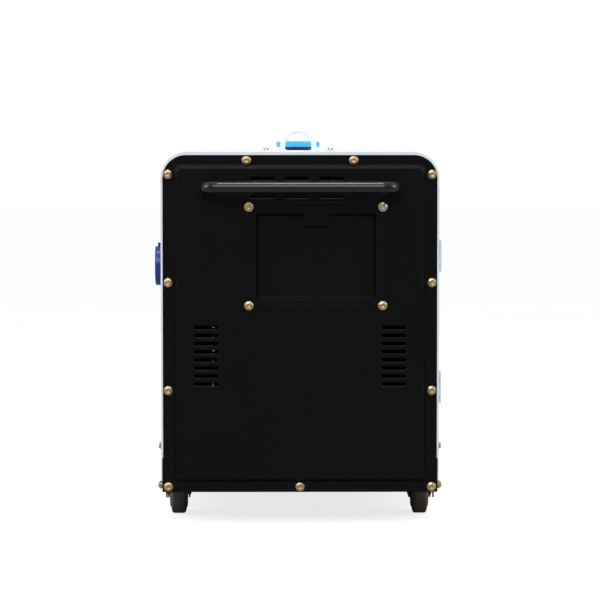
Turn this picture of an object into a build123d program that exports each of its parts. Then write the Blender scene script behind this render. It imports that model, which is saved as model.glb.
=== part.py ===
from build123d import *
import os
from math import cos, pi, radians, sin

os.makedirs("parts", exist_ok=True)

# A diesel generator set in a steel canopy.  Origin on the floor under the middle of the body.
# +Z is up, the photographed end faces -Y, the control panel is on the -X side.  Millimetres.

# ---- overall sizes -------------------------------------------------------------------------------
BODY_W = 520.0          # over the canopy skins
BODY_L = 920.0          # between the canopy's two open ends
BODY_H = 637.0          # from the underside of the tray to the roof
GROUND_GAP = 60.0       # floor to the underside of the tray

# ---- sheet metal ---------------------------------------------------------------------------------
SKIN = 2.0              # canopy and end panel sheet
TRAY_T = 3.0            # base tray sheet
FRAME_T = 3.0           # canopy frame sheet
ROOF_R = 50.0           # outer radius of the roof's two long edges
HEM_L = 36.0            # folded hem at each end of the canopy
HEM_SIDE = 3.7          # hem thickness on the sides
HEM_TOP = 6.2           # hem thickness under the roof
FIT = 0.3               # play between sheets that lie inside one another

# ---- screws --------------------------------------------------------------------------------------
SCREW_R = 3.0           # M6 shank
SCREW_HOLE_R = 3.3
SCREW_FLANGE_R = 8.5
SCREW_FLANGE_T = 1.6
SCREW_HEX = 10.0        # across flats
SCREW_HEAD_H = 5.0
SCREW_L = 12.0

# ---- end panels ----------------------------------------------------------------------------------
PANEL_RECESS = 2.0      # flange face behind the canopy's edge
FIELD_RAISE = 8.0       # raised field above the flange
FIELD_SIDE = 27.0       # flange width beside the raised field
FIELD_FOOT = 25.0       # flange height below it
FIELD_HEAD = 24.5       # flange height above it
FIELD_SLOPE_X = 6.0
FIELD_SLOPE_TOP = 6.5
FIELD_SLOPE_FOOT = 5.0
FIELD_CHAMFER = 7.0
SCREW_EDGE = 9.5        # screw line from the panel's long edges
SCREW_HEIGHTS = (10.0, 191.0, 393.0, 595.0)   # above the tray's underside
TOP_SCREW_X = 100.0

SLOT_W = 45.0
SLOT_H = 5.6
SLOT_LIP = 1.6           # flare of the slot's outer edge
SIDE_SLOT_COUNT = 8
SIDE_SLOT_PITCH = 15.2
SIDE_SLOT_Z = 203.0     # lowest slot above the tray's underside
SIDE_SLOT_INSET = 81.0  # bank centre line from the panel edge
TOP_SLOT_Z = 554.0
TOP_SLOT_ROWS = 3
TOP_SLOT_PITCH = 16.5
TOP_SLOT_X = (-70.0, -6.5, 58.5)

# ---- access cover --------------------------------------------------------------------------------
COVER_X = 29.5          # centre
COVER_Z = 442.3         # centre above the tray's underside
COVER_W = 271.0
COVER_H = 202.6
COVER_SCREW_W = 249.5
COVER_SCREW_H = 183.5
POCKET_W = 228.0
POCKET_H = 163.0
POCKET_DEPTH = 11.0
POCKET_DRAFT = 4.0       # slope of the pocket's walls over its depth
POCKET_GAP = 4.0        # between the pocket and the hole in the panel
TAB_W = 47.7
TAB_H = 22.0
COVER_CORNER = 5.0

# ---- handles -------------------------------------------------------------------------------------
TUBE_R = 11.0
TUBE_WALL = 2.0
HANDLE_SPAN = 352.0     # between the two legs' centre lines
HANDLE_STAND = 49.0     # bar centre line in front of the raised field
HANDLE_BEND = 24.0
HANDLE_Z = 571.0        # above the tray's underside
HANDLE_DEPTH = 26.0     # how far the legs run inside the panel

# ---- derived planes ------------------------------------------------------------------------------
TRAY_Z0 = GROUND_GAP
ROOF_Z = GROUND_GAP + BODY_H
HALF_W = BODY_W / 2
HALF_L = BODY_L / 2
TRAY_H = 63.0
FLOOR_Z0 = TRAY_Z0 + 38.0
FLOOR_Z = FLOOR_Z0 + TRAY_T
TRAY_HALF_W = HALF_W - SKIN
PANEL_Y = HALF_L - PANEL_RECESS          # outer face of the flange, both ends
PANEL_HALF_W = HALF_W - HEM_SIDE - FIT
PANEL_TOP = ROOF_Z - HEM_TOP - FIT
PANEL_R = ROOF_R - HEM_TOP - FIT
FIELD_Y = PANEL_Y + FIELD_RAISE
TRAY_HALF_L = PANEL_Y - SKIN


def slab(x0, x1, y0, y1, z0, z1):
    """Rectangular block between two corners."""
    return Pos((x0 + x1) / 2, (y0 + y1) / 2, (z0 + z1) / 2) * Box(x1 - x0, y1 - y0, z1 - z0)


def bar_x(r, x0, x1, y, z):
    """Round bar along X."""
    return Pos((x0 + x1) / 2, y, z) * Rot(0, 90, 0) * Cylinder(r, x1 - x0)


def bar_y(r, y0, y1, x, z):
    """Round bar along Y."""
    return Pos(x, (y0 + y1) / 2, z) * Rot(90, 0, 0) * Cylinder(r, y1 - y0)


def bar_z(r, z0, z1, x, y):
    """Round bar along Z."""
    return Pos(x, y, (z0 + z1) / 2) * Cylinder(r, z1 - z0)


def facing_y(sketch, y0, y1):
    """Sketch drawn in X and Z, run from y0 to y1."""
    return Pos(0, y0, 0) * extrude(Plane.XZ * sketch, y1 - y0, dir=(0, 1, 0))


def facing_x(sketch, x0, x1):
    """Sketch drawn in Y and Z, run from x0 to x1."""
    return Pos(x0, 0, 0) * extrude(Plane.YZ * sketch, x1 - x0, dir=(1, 0, 0))


def end_for_end(shape):
    """The same piece at the other end of the body."""
    return mirror(shape, Plane.XZ)


def other_side(shape):
    """The same piece on the other side of the body."""
    return mirror(shape, Plane.YZ)


def save(node, shape):
    """Write one sub-part."""
    export_step(Compound(shape.solids()), f"parts/{node}.step")


# ---- canopy screws: flange, hexagon head, shank, pointing +Y ---------------------------------------
def screw(length=SCREW_L):
    """Flange-head screw with its seat at the origin and its shank along +Y."""
    head = facing_y(RegularPolygon(SCREW_HEX / 2, 6, major_radius=False), -SCREW_HEAD_H, 0)
    dimple = bar_y(2.2, -SCREW_HEAD_H - 1, -SCREW_HEAD_H + 1.2, 0, 0)
    cone = Cone(SCREW_FLANGE_R, SCREW_FLANGE_R - 2, SCREW_FLANGE_T)
    flange = Pos(0, -SCREW_FLANGE_T / 2, 0) * Rot(90, 0, 0) * cone
    return head + flange - dimple + bar_y(SCREW_R, 0, length, 0, 0)


def panel_screw_points():
    """X and Z of the screws around one end panel."""
    points = []
    for height in SCREW_HEIGHTS:
        for side in (-1, 1):
            points.append((side * (PANEL_HALF_W - SCREW_EDGE), TRAY_Z0 + height))
    points.append((-TOP_SCREW_X, PANEL_TOP - SCREW_EDGE))
    points.append((TOP_SCREW_X, PANEL_TOP - SCREW_EDGE))
    points.append((0, TRAY_Z0 + SCREW_HEIGHTS[0]))
    return points


def cover_screw_points():
    """X and Z of the access cover's four screws."""
    z = TRAY_Z0 + COVER_Z
    return [(COVER_X + a * COVER_SCREW_W / 2, z + b * COVER_SCREW_H / 2) for a in (-1, 1) for b in (-1, 1)]


# ---- end panels ------------------------------------------------------------------------------------
def panel_outline(half_w, z0, z1, r):
    """Upright rectangle with rounded top corners."""
    face = Pos(0, (z0 + z1) / 2) * Rectangle(2 * half_w, z1 - z0)
    return fillet(face.vertices().sort_by(Axis.Y)[-2:], r)


def field_section(inset, y):
    """Section of the raised field at one depth, inset from its foot (0) to its face (1)."""
    half_w = PANEL_HALF_W - FIELD_SIDE + FIELD_SLOPE_X * (1 - inset)
    z0 = TRAY_Z0 + FIELD_FOOT - FIELD_SLOPE_FOOT * (1 - inset)
    z1 = PANEL_TOP - FIELD_HEAD + FIELD_SLOPE_TOP * (1 - inset)
    face = Pos(0, (z0 + z1) / 2) * Rectangle(2 * half_w, z1 - z0)
    return Plane.XZ.offset(y) * chamfer(face.vertices(), FIELD_CHAMFER)


def raised_field():
    """Outer form of the pressing."""
    return loft([field_section(0, PANEL_Y), field_section(1, FIELD_Y)])


def pressing_hollow():
    """Space behind the pressing, one sheet smaller."""
    lean = 0.2
    return loft([field_section(lean, PANEL_Y - SKIN), field_section(1 + lean, FIELD_Y - SKIN)])


def slot_cutter(x, z):
    """One obround vent, flared at its outer edge."""
    flare = SLOT_LIP + FIT
    outer = Plane.XZ.offset(FIELD_Y + FIT) * Pos(x, z) * SlotOverall(SLOT_W + 2 * flare, SLOT_H + 2 * flare)
    inner = Plane.XZ.offset(FIELD_Y - SLOT_LIP) * Pos(x, z) * SlotOverall(SLOT_W, SLOT_H)
    through = facing_y(Pos(x, z) * SlotOverall(SLOT_W, SLOT_H), -FIELD_Y - 5, -PANEL_Y + 10)
    return through + loft([outer, inner])


def vent_cutters():
    """Both side banks and the top bank."""
    cuts = []
    for side in (-1, 1):
        for row in range(SIDE_SLOT_COUNT):
            z = TRAY_Z0 + SIDE_SLOT_Z + row * SIDE_SLOT_PITCH
            cuts.append(slot_cutter(side * (PANEL_HALF_W - SIDE_SLOT_INSET), z))
    for x in TOP_SLOT_X:
        for row in range(TOP_SLOT_ROWS):
            cuts.append(slot_cutter(x, TRAY_Z0 + TOP_SLOT_Z + row * TOP_SLOT_PITCH))
    return cuts


def blank_panel():
    """Pressed panel with its screw holes and the two holes for the handle's legs."""
    outline = panel_outline(PANEL_HALF_W, TRAY_Z0, PANEL_TOP, PANEL_R)
    panel = facing_y(outline, -PANEL_Y, -PANEL_Y + SKIN) + raised_field()
    panel -= pressing_hollow()
    for x, z in panel_screw_points():
        panel -= bar_y(SCREW_HOLE_R, -PANEL_Y - 1, -PANEL_Y + SKIN + 1, x, z)
    for side in (-1, 1):
        hole_r = TUBE_R + FIT
        panel -= bar_y(hole_r, -FIELD_Y - 1, -PANEL_Y + 1, side * HANDLE_SPAN / 2, TRAY_Z0 + HANDLE_Z)
    return panel


def rear_end_panel():
    """Panel with three vent banks and the access opening."""
    panel = blank_panel()
    for cut in vent_cutters():
        panel -= cut
    half_w = POCKET_W / 2 + POCKET_GAP
    half_h = POCKET_H / 2 + POCKET_GAP
    z = TRAY_Z0 + COVER_Z
    panel -= slab(COVER_X - half_w, COVER_X + half_w, -FIELD_Y - 1, -PANEL_Y + 5, z - half_h, z + half_h)
    for x, z in cover_screw_points():
        panel -= bar_y(SCREW_HOLE_R, -FIELD_Y - 1, -FIELD_Y + SKIN + 1, x, z)
    return panel


LOUVRE_W = 150.0
LOUVRE_PITCH = 26.0
LOUVRE_ROWS = 11
LOUVRE_X = (-110.0, 110.0)
LOUVRE_Z = 120.0        # lowest louvre above the tray's underside
LOUVRE_H = 9.0
LOUVRE_HOOD = 7.0


def front_end_panel():
    """Panel at the +Y end with two columns of hooded intake louvres."""
    panel = blank_panel()
    for x in LOUVRE_X:
        for row in range(LOUVRE_ROWS):
            z = TRAY_Z0 + LOUVRE_Z + row * LOUVRE_PITCH
            gap = slab(x - LOUVRE_W / 2, x + LOUVRE_W / 2, -FIELD_Y - 1, -PANEL_Y, z, z + LOUVRE_H)
            profile = Polygon((-FIELD_Y, z + LOUVRE_H + 5), (-FIELD_Y - LOUVRE_HOOD, z + 2),
                              (-FIELD_Y - LOUVRE_HOOD + 1.5, z), (-FIELD_Y, z + LOUVRE_H), align=None)
            hood = facing_x(profile, x - LOUVRE_W / 2, x + LOUVRE_W / 2)
            panel = panel - gap + hood
    return end_for_end(panel)


def pocket_form(inset, y0, y1):
    """Drafted block of the pocket between two depths, inset all round."""
    sections = []
    for y, draft in ((y0, 0), (y1, POCKET_DRAFT)):
        less = 2 * (inset + draft)
        outline = RectangleRounded(POCKET_W - less, POCKET_H - less, COVER_CORNER - inset)
        sections.append(Plane.XZ.offset(-y) * Pos(COVER_X, TRAY_Z0 + COVER_Z) * outline)
    return loft(sections)


def access_cover():
    """Bolted cover with a pressed pocket and a finger tab from the pocket's upper edge."""
    z = TRAY_Z0 + COVER_Z
    y0 = -FIELD_Y - SKIN
    face = Pos(COVER_X, z) * RectangleRounded(COVER_W, COVER_H, COVER_CORNER)
    cover = facing_y(face, y0, -FIELD_Y) + pocket_form(0, y0, y0 + POCKET_DEPTH + SKIN)
    cover -= pocket_form(SKIN, y0, y0 + POCKET_DEPTH)
    top = z + POCKET_H / 2 - SKIN / 2
    cover += slab(COVER_X + 1 - TAB_W / 2, COVER_X + 1 + TAB_W / 2, y0, -FIELD_Y, top - TAB_H, top)
    for x, z_hole in cover_screw_points():
        cover -= bar_y(SCREW_HOLE_R, y0 - 1, -FIELD_Y + 1, x, z_hole)
    return cover


def bent_rod(r, y_in):
    """Round rod of the handle's shape: cross bar, two elbows and two legs ending at y_in."""
    x = HANDLE_SPAN / 2
    y_out = -FIELD_Y - HANDLE_STAND
    y_bend = y_out + HANDLE_BEND
    z = TRAY_Z0 + HANDLE_Z
    section = Pos(-x, y_bend, z) * Rot(90, 0, 0) * Circle(r)
    elbow = revolve(section, Axis((HANDLE_BEND - x, y_bend, z), (0, 0, 1)), 90)
    leg = elbow + bar_y(r, y_bend, y_in, -x, z)
    return bar_x(r, HANDLE_BEND - x, x - HANDLE_BEND, y_out, z) + leg + other_side(leg)


def handle():
    """Tube bent twice, its legs running through the panel."""
    y_in = -FIELD_Y + HANDLE_DEPTH
    return bent_rod(TUBE_R, y_in) - bent_rod(TUBE_R - TUBE_WALL, y_in + 1)


# ---- base tray -------------------------------------------------------------------------------------
TRAY_LIP = 22.0
STUD_R = 1.6             # welded studs under the rear corners
STUD_DROP = 11.0
STUD_INSET = 8.0
TAPPED_R = SCREW_R + 0.1
REAR_CASTER_INSET = 160.0    # fixed casters from the canopy's end
FRONT_CASTER_INSET = 88.0    # swivel casters' king pins
CASTER_Y_REAR = -HALF_L + REAR_CASTER_INSET
CASTER_Y_FRONT = HALF_L - FRONT_CASTER_INSET
DRAIN_R = 12.0
ANCHOR_X = HALF_W - 140.0    # transport holes in the tray floor
ANCHOR_Y = HALF_L - 60.0
ANCHOR_R = 6.5


def base_tray():
    """Folded tray: floor, four skirts, two lips, holes for the end screws."""
    w = TRAY_HALF_W
    length = TRAY_HALF_L
    tray = slab(-w, w, -length, length, TRAY_Z0, TRAY_Z0 + TRAY_H)
    inner_w = w - TRAY_T
    inner_l = length - TRAY_T
    tray -= slab(-inner_w, inner_w, -inner_l, inner_l, FLOOR_Z, TRAY_Z0 + TRAY_H + 1)
    tray -= slab(-inner_w, inner_w, -inner_l, inner_l, TRAY_Z0 - 1, FLOOR_Z0)
    for side in (-1, 1):
        edges = sorted((side * inner_w, side * (inner_w - TRAY_LIP)))
        lip = slab(edges[0], edges[1], -inner_l, inner_l, TRAY_Z0, TRAY_Z0 + TRAY_T)
        lip -= slab(-w, w, CASTER_Y_REAR - 70, CASTER_Y_REAR + 70, TRAY_Z0 - 1, FLOOR_Z0)
        lip -= slab(-w, w, CASTER_Y_FRONT - 85, inner_l, TRAY_Z0 - 1, FLOOR_Z0)
        tray += lip
    for x, z in panel_screw_points():
        if z < TRAY_Z0 + TRAY_H:
            tray -= bar_y(TAPPED_R, -length - 1, length + 1, x, z)
    for a in (-1, 1):
        for b in (-1, 1):
            tray -= bar_z(ANCHOR_R, FLOOR_Z0 - 1, FLOOR_Z + 1, a * ANCHOR_X, b * ANCHOR_Y)
            tray -= bar_x(TAPPED_R, a * w - 5, a * w + 5, b * SIDE_BOLT_Y, TRAY_Z0 + SKIRT_BOLT_Z)
    tray -= bar_z(DRAIN_R, FLOOR_Z0 - 1, FLOOR_Z + 1, 60, 100)
    for side in (-1, 1):
        stud_x = side * (w - STUD_INSET)
        tray += bar_z(STUD_R, TRAY_Z0 - STUD_DROP, TRAY_Z0 + TRAY_T, stud_x, STUD_INSET - length)
    return tray


# ---- canopy frame ----------------------------------------------------------------------------------
SIDE_BOLT_Y = HALF_L - 20.0
SKIRT_BOLT_Z = 12.0      # above the tray's underside
SIDE_BOLT_Z = 86.0
RING_W = 24.0            # width of the end rings
RETURN_D = 31.0          # depth of their folded returns
RAIL_Z0 = ROOF_Z - 82.0
RAIL_Z1 = ROOF_Z - 42.0
BRACE_H = 38.0
HOOP_Y = -60.0           # lifting hoop and ring
HOOP_W = 50.0
HOOP_D = 15.0
SEAM_Z = ROOF_Z - 57.0   # joint between roof and side panels
SEAM_GAP = 1.0


def end_ring():
    """Flat ring behind one end panel, with folded returns and the plate that carries the handle."""
    z0 = TRAY_Z0 + TRAY_H
    y0 = -PANEL_Y + SKIN
    outer = panel_outline(PANEL_HALF_W, z0, PANEL_TOP, PANEL_R)
    inner = panel_outline(PANEL_HALF_W - RING_W, z0 - 10, PANEL_TOP - RING_W, PANEL_R - RING_W / 2)
    ring = facing_y(outer - inner, y0, y0 + FRAME_T)
    for side in (-1, 1):
        x = sorted((side * PANEL_HALF_W, side * (PANEL_HALF_W - FRAME_T)))
        ring += slab(x[0], x[1], y0, y0 + RETURN_D, z0, PANEL_TOP - PANEL_R)
        ring -= bar_x(TAPPED_R, x[0] - 1, x[1] + 1, -SIDE_BOLT_Y, TRAY_Z0 + SIDE_BOLT_Z)
    brace_y = -FIELD_Y + HANDLE_DEPTH
    brace_z = TRAY_Z0 + HANDLE_Z
    w = PANEL_HALF_W - FRAME_T
    ring += slab(-w, w, brace_y, brace_y + FRAME_T, brace_z - BRACE_H / 2, brace_z + BRACE_H / 2)
    for x, z in panel_screw_points():
        ring -= bar_y(TAPPED_R, y0 - 1, y0 + FRAME_T + 1, x, z)
    return ring


def lifting_hoop():
    """Channel bent to the inside of the roof, where the lifting ring is bolted."""
    in_w = HALF_W - SKIN
    top = ROOF_Z - SKIN
    outer = panel_outline(in_w, RAIL_Z0, top, ROOF_R - SKIN)
    web = outer - panel_outline(in_w - FRAME_T, RAIL_Z0 - 10, top - FRAME_T, ROOF_R - SKIN - FRAME_T)
    flange = outer - panel_outline(in_w - HOOP_D, RAIL_Z0 - 10, top - HOOP_D, ROOF_R - SKIN - HOOP_D)
    y0 = HOOP_Y - HOOP_W / 2
    y1 = HOOP_Y + HOOP_W / 2
    hoop = facing_y(web, y0, y1) + facing_y(flange, y0, y0 + FRAME_T) + facing_y(flange, y1 - FRAME_T, y1)
    for side in (-1, 1):
        hoop -= bar_z(TAPPED_R, top - HOOP_D, top + 1, side * RING_BOLT_X, HOOP_Y)
    return hoop


def canopy_frame():
    """Both end rings, two top rails and the lifting hoop."""
    frame = end_ring() + end_for_end(end_ring()) + lifting_hoop()
    rail_l = PANEL_Y - SKIN - FRAME_T
    seat_l = HALF_L - HEM_L - 0.5
    for side in (-1, 1):
        x = sorted((side * PANEL_HALF_W, side * (PANEL_HALF_W - FRAME_T)))
        frame += slab(x[0], x[1], -rail_l, rail_l, RAIL_Z0, RAIL_Z1 - 8)
        x = sorted((side * (HALF_W - SKIN), side * (PANEL_HALF_W - FRAME_T)))
        frame += slab(x[0], x[1], -seat_l, seat_l, RAIL_Z0, RAIL_Z1 - 8)
    return frame


# ---- canopy skins ----------------------------------------------------------------------------------
NECK_X = 0.0
NECK_Y = 20.0
NECK_R = 35.0
NECK_GAP = 1.5
SKIRT_Z = TRAY_Z0 + 21.0     # lower edge of the side panels
CONTROL_W = 307.0
CONTROL_Y0 = -HALF_L + 58.0
CONTROL_Y1 = CONTROL_Y0 + CONTROL_W
CONTROL_Z0 = TRAY_Z0 + 265.0
CONTROL_Z1 = TRAY_Z0 + 548.0
DOOR_W = 420.0
DOOR_Y1 = HALF_L - 60.0
DOOR_Y0 = DOOR_Y1 - DOOR_W
DOOR_Z0 = TRAY_Z0 + 92.0
DOOR_Z1 = TRAY_Z0 + 540.0
DOOR_GAP = 2.0
OUTLET_Y = 330.0
OUTLET_Z = 500.0
OUTLET_R = 17.0
OUTLET_GAP = 6.0


def roof_panel():
    """Roof with both rounded edges, hemmed ends and the filler opening."""
    shell = panel_outline(HALF_W, SEAM_Z, ROOF_Z, ROOF_R)
    hollow = panel_outline(HALF_W - SKIN, SEAM_Z - 1, ROOF_Z - SKIN, ROOF_R - SKIN)
    mouth = panel_outline(PANEL_HALF_W + FIT, SEAM_Z - 1, PANEL_TOP + FIT, PANEL_R + FIT)
    roof = facing_y(shell - hollow, -HALF_L, HALF_L)
    rim = shell - mouth
    roof += facing_y(rim, -HALF_L, -HALF_L + HEM_L) + facing_y(rim, HALF_L - HEM_L, HALF_L)
    roof -= bar_z(NECK_R + NECK_GAP, ROOF_Z - 10, ROOF_Z + 10, NECK_X, NECK_Y)
    for side in (-1, 1):
        roof -= bar_z(SCREW_HOLE_R, ROOF_Z - 10, ROOF_Z + 10, side * RING_BOLT_X, HOOP_Y)
    return roof


def side_skin():
    """Plain left side with hemmed ends and the service door's opening."""
    z1 = SEAM_Z - SEAM_GAP
    skin = slab(-HALF_W, -HALF_W + SKIN, -HALF_L, HALF_L, SKIRT_Z, z1)
    hem_x = -HALF_W + HEM_SIDE
    hem_z = TRAY_Z0 + TRAY_H + 1
    skin += slab(-HALF_W, hem_x, -HALF_L, -HALF_L + HEM_L, hem_z, z1)
    skin += slab(-HALF_W, hem_x, HALF_L - HEM_L, HALF_L, hem_z, z1)
    gap = DOOR_GAP
    skin -= slab(-HALF_W - 1, -HALF_W + 9, DOOR_Y0 - gap, DOOR_Y1 + gap, DOOR_Z0 - gap, DOOR_Z1 + gap)
    for b in (-1, 1):
        skin -= bar_x(SCREW_HOLE_R, -HALF_W - 1, -HALF_W + 9, b * SIDE_BOLT_Y, TRAY_Z0 + SIDE_BOLT_Z)
    return skin


def left_side_panel():
    """Side with the control panel's opening."""
    return side_skin() - slab(-HALF_W - 1, -HALF_W + 9, CONTROL_Y0, CONTROL_Y1, CONTROL_Z0, CONTROL_Z1)


def right_side_panel():
    """Same sheet turned end for end, with the exhaust hole instead."""
    skin = Rot(0, 0, 180) * side_skin()
    return skin - bar_x(OUTLET_R + OUTLET_GAP, HALF_W - 9, HALF_W + 1, OUTLET_Y, OUTLET_Z)


# ---- doors -----------------------------------------------------------------------------------------
DOOR_FLANGE = 14.0
DOOR_FLANGE_T = 1.5
DOOR_FOAM_T = 10.0
DOOR_FOAM_INSET = 6.0
HINGE_R = 3.7
HINGE_OFF = HINGE_R + 0.3          # hinge axis outside the skin
HINGE_Y = DOOR_Y1 + DOOR_GAP + 2.0
HINGE_X = -HALF_W - HINGE_OFF
HINGE_PIN_R = 2.0
HINGE_BORE_R = 2.15
HINGE_H = 60.0
HINGE_LEAF_T = 2.0
HINGE_LEAF_W = 20.0
HINGE_HEIGHTS = (DOOR_Z0 + 70.0, DOOR_Z1 - 130.0)
LATCH_Y = DOOR_Y0 + 30.0
LATCH_Z = (DOOR_Z0 + DOOR_Z1) / 2
LATCH_R = 13.0
LATCH_DISC_T = 2.5
GRIP_OUT = 9.0           # grip's face in front of the door
GRIP_T = 5.0
GRIP_INSET = 1.5
LATCH_SHANK_R = 5.0
LATCH_PLAY = 0.3
CAM_L = 45.0
CAM_W = 14.0
CAM_T = 3.0
CAM_CLEAR = 3.0          # round the cam in the door's folded edge
CAM_GAP = 1.5            # between the cam and the skin it closes behind


def door_leaf():
    """Left door: skin, folded edges, hinge leaves and the latch hole."""
    x0 = -HALF_W
    x_in = -HALF_W + SKIN
    door = slab(x0, x_in + DOOR_FLANGE, DOOR_Y0, DOOR_Y1, DOOR_Z0, DOOR_Z1)
    t = DOOR_FLANGE_T
    door -= slab(x_in, x_in + DOOR_FLANGE + 1, DOOR_Y0 + t, DOOR_Y1 - t, DOOR_Z0 + t, DOOR_Z1 - t)
    door -= bar_x(LATCH_SHANK_R + LATCH_PLAY, x0 - 1, x_in + 1, LATCH_Y, LATCH_Z)
    door -= slab(x_in, x_in + DOOR_FLANGE + 1, DOOR_Y0 - 1, DOOR_Y0 + t + 1,
                 LATCH_Z - CAM_L - CAM_CLEAR, LATCH_Z + CAM_W / 2 + CAM_CLEAR)
    for z in HINGE_HEIGHTS:
        z_mid = z + HINGE_H / 2
        leaf = slab(x0 - HINGE_LEAF_T, x0, DOOR_Y1 - HINGE_LEAF_W, DOOR_Y1, z, z + HINGE_H)
        leaf += slab(x0 - HINGE_LEAF_T, x0 - FIT, DOOR_Y1 - 1, HINGE_Y, z_mid + 0.5, z + HINGE_H)
        leaf += bar_z(HINGE_R, z_mid + 0.5, z + HINGE_H, HINGE_X, HINGE_Y)
        door += leaf - bar_z(HINGE_BORE_R, z, z + HINGE_H + 1, HINGE_X, HINGE_Y)
    return door


def hinge_fixed_leaves():
    """Leaves and pins on the side panel, for the left door."""
    leaves = []
    x0 = -HALF_W
    for z in HINGE_HEIGHTS:
        z_mid = z + HINGE_H / 2
        leaf = slab(x0 - HINGE_LEAF_T, x0, HINGE_Y + HINGE_R + 1, HINGE_Y + HINGE_LEAF_W, z, z + HINGE_H)
        leaf += slab(x0 - HINGE_LEAF_T, x0, HINGE_Y, HINGE_Y + HINGE_R + 2, z, z_mid - 0.5)
        leaf += bar_z(HINGE_R, z, z_mid - 0.5, HINGE_X, HINGE_Y)
        leaf += bar_z(HINGE_PIN_R, z, z + HINGE_H + 2, HINGE_X, HINGE_Y)
        leaves.append(leaf)
    return leaves


def door_foam():
    """Acoustic foam glued inside the door, cut away round the latch."""
    x0 = -HALF_W + SKIN
    m = DOOR_FOAM_INSET
    foam = slab(x0, x0 + DOOR_FOAM_T, DOOR_Y0 + m, DOOR_Y1 - m, DOOR_Z0 + m, DOOR_Z1 - m)
    reach = CAM_L + 8
    return foam - slab(x0 - 1, x0 + 30, DOOR_Y0, LATCH_Y + reach, LATCH_Z - reach, LATCH_Z + reach / 3)


def door_latch():
    """Quarter-turn latch: grip outside, cam inside, shown unlocked with the cam hanging down."""
    x0 = -HALF_W
    disc = bar_x(LATCH_R, x0 - LATCH_DISC_T, x0, LATCH_Y, LATCH_Z)
    grip_y = GRIP_T / 2
    grip_z = LATCH_R - GRIP_INSET
    grip = slab(x0 - GRIP_OUT, x0 - LATCH_DISC_T, LATCH_Y - grip_y, LATCH_Y + grip_y,
                LATCH_Z - grip_z, LATCH_Z + grip_z)
    cam_x0 = x0 + SKIN + CAM_GAP
    shank = bar_x(LATCH_SHANK_R, x0 - 1, cam_x0 + CAM_T, LATCH_Y, LATCH_Z)
    cam = slab(cam_x0, cam_x0 + CAM_T, LATCH_Y - CAM_W / 2, LATCH_Y + CAM_W / 2, LATCH_Z - CAM_L, LATCH_Z)
    cam += bar_x(CAM_W / 2, cam_x0, cam_x0 + CAM_T, LATCH_Y, LATCH_Z)
    return disc + grip + shank + cam


# ---- lifting ring ----------------------------------------------------------------------------------
RING_BAR_R = 5.0
RING_MEAN_R = 31.5
RING_RISE = 11.5         # from the roof to the arch's centre
RING_BOLT_X = 64.5
RING_PLATE_T = 3.5
RING_PLATE_W = 158.0
RING_PLATE_L = 46.0


def lifting_ring():
    """Half-round bar welded to its roof plate."""
    z = ROOF_Z + RING_RISE
    foot_z = ROOF_Z + 1
    arch = ThreePointArc((-RING_MEAN_R, HOOP_Y, z), (0, HOOP_Y, z + RING_MEAN_R), (RING_MEAN_R, HOOP_Y, z))
    bar = sweep(Plane(origin=arch @ 0, z_dir=arch % 0) * Circle(RING_BAR_R), path=arch)
    for side in (-1, 1):
        bar += bar_z(RING_BAR_R, foot_z, z, side * RING_MEAN_R, HOOP_Y)
    plate = Pos(0, HOOP_Y, ROOF_Z) * extrude(RectangleRounded(RING_PLATE_W, RING_PLATE_L, 8), RING_PLATE_T)
    for side in (-1, 1):
        plate -= bar_z(SCREW_HOLE_R, ROOF_Z - 1, ROOF_Z + RING_PLATE_T + 1, side * RING_BOLT_X, HOOP_Y)
    return bar + plate


ROOF_FOAM_T = 10.0


def roof_foam():
    """Acoustic foam under the roof, cut away round the hoop and the filler neck."""
    top = ROOF_Z - SKIN
    w = HALF_W - ROOF_R
    length = HALF_L - HEM_L - 6
    foam = slab(-w, w, -length, length, top - ROOF_FOAM_T, top)
    foam -= slab(-w - 1, w + 1, HOOP_Y - HOOP_W / 2 - 1, HOOP_Y + HOOP_W / 2 + 1, top - 40, top + 1)
    return foam - bar_z(NECK_R + 6, top - 40, top + 1, NECK_X, NECK_Y)


# ---- all visible gold screws -----------------------------------------------------------------------
WASHER_R = 7.0
WASHER_T = 3.0


def gold_screws():
    """Screws of both end panels, the access cover, the tray and side panels, and the lifting ring."""
    screws = []
    for x, z in panel_screw_points():
        rear = Pos(x, -PANEL_Y, z) * screw()
        screws += [rear, end_for_end(rear)]
    for x, z in cover_screw_points():
        screws.append(Pos(x, -FIELD_Y - SKIN, z) * screw(9.0))
    for b in (-1, 1):
        x0 = -TRAY_HALF_W - WASHER_T
        z0 = TRAY_Z0 + SKIRT_BOLT_Z
        skirt = Pos(x0, b * SIDE_BOLT_Y, z0) * Rot(0, 0, -90) * screw(12.0)
        skirt += bar_x(WASHER_R, x0, -TRAY_HALF_W, b * SIDE_BOLT_Y, z0)
        side = Pos(-HALF_W, b * SIDE_BOLT_Y, TRAY_Z0 + SIDE_BOLT_Z) * Rot(0, 0, -90) * screw(9.0)
        screws += [skirt, side, other_side(skirt), other_side(side)]
    for side in (-1, 1):
        screws.append(Pos(side * RING_BOLT_X, HOOP_Y, ROOF_Z + RING_PLATE_T) * Rot(-90, 0, 0) * screw(14.0))
    return screws


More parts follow.
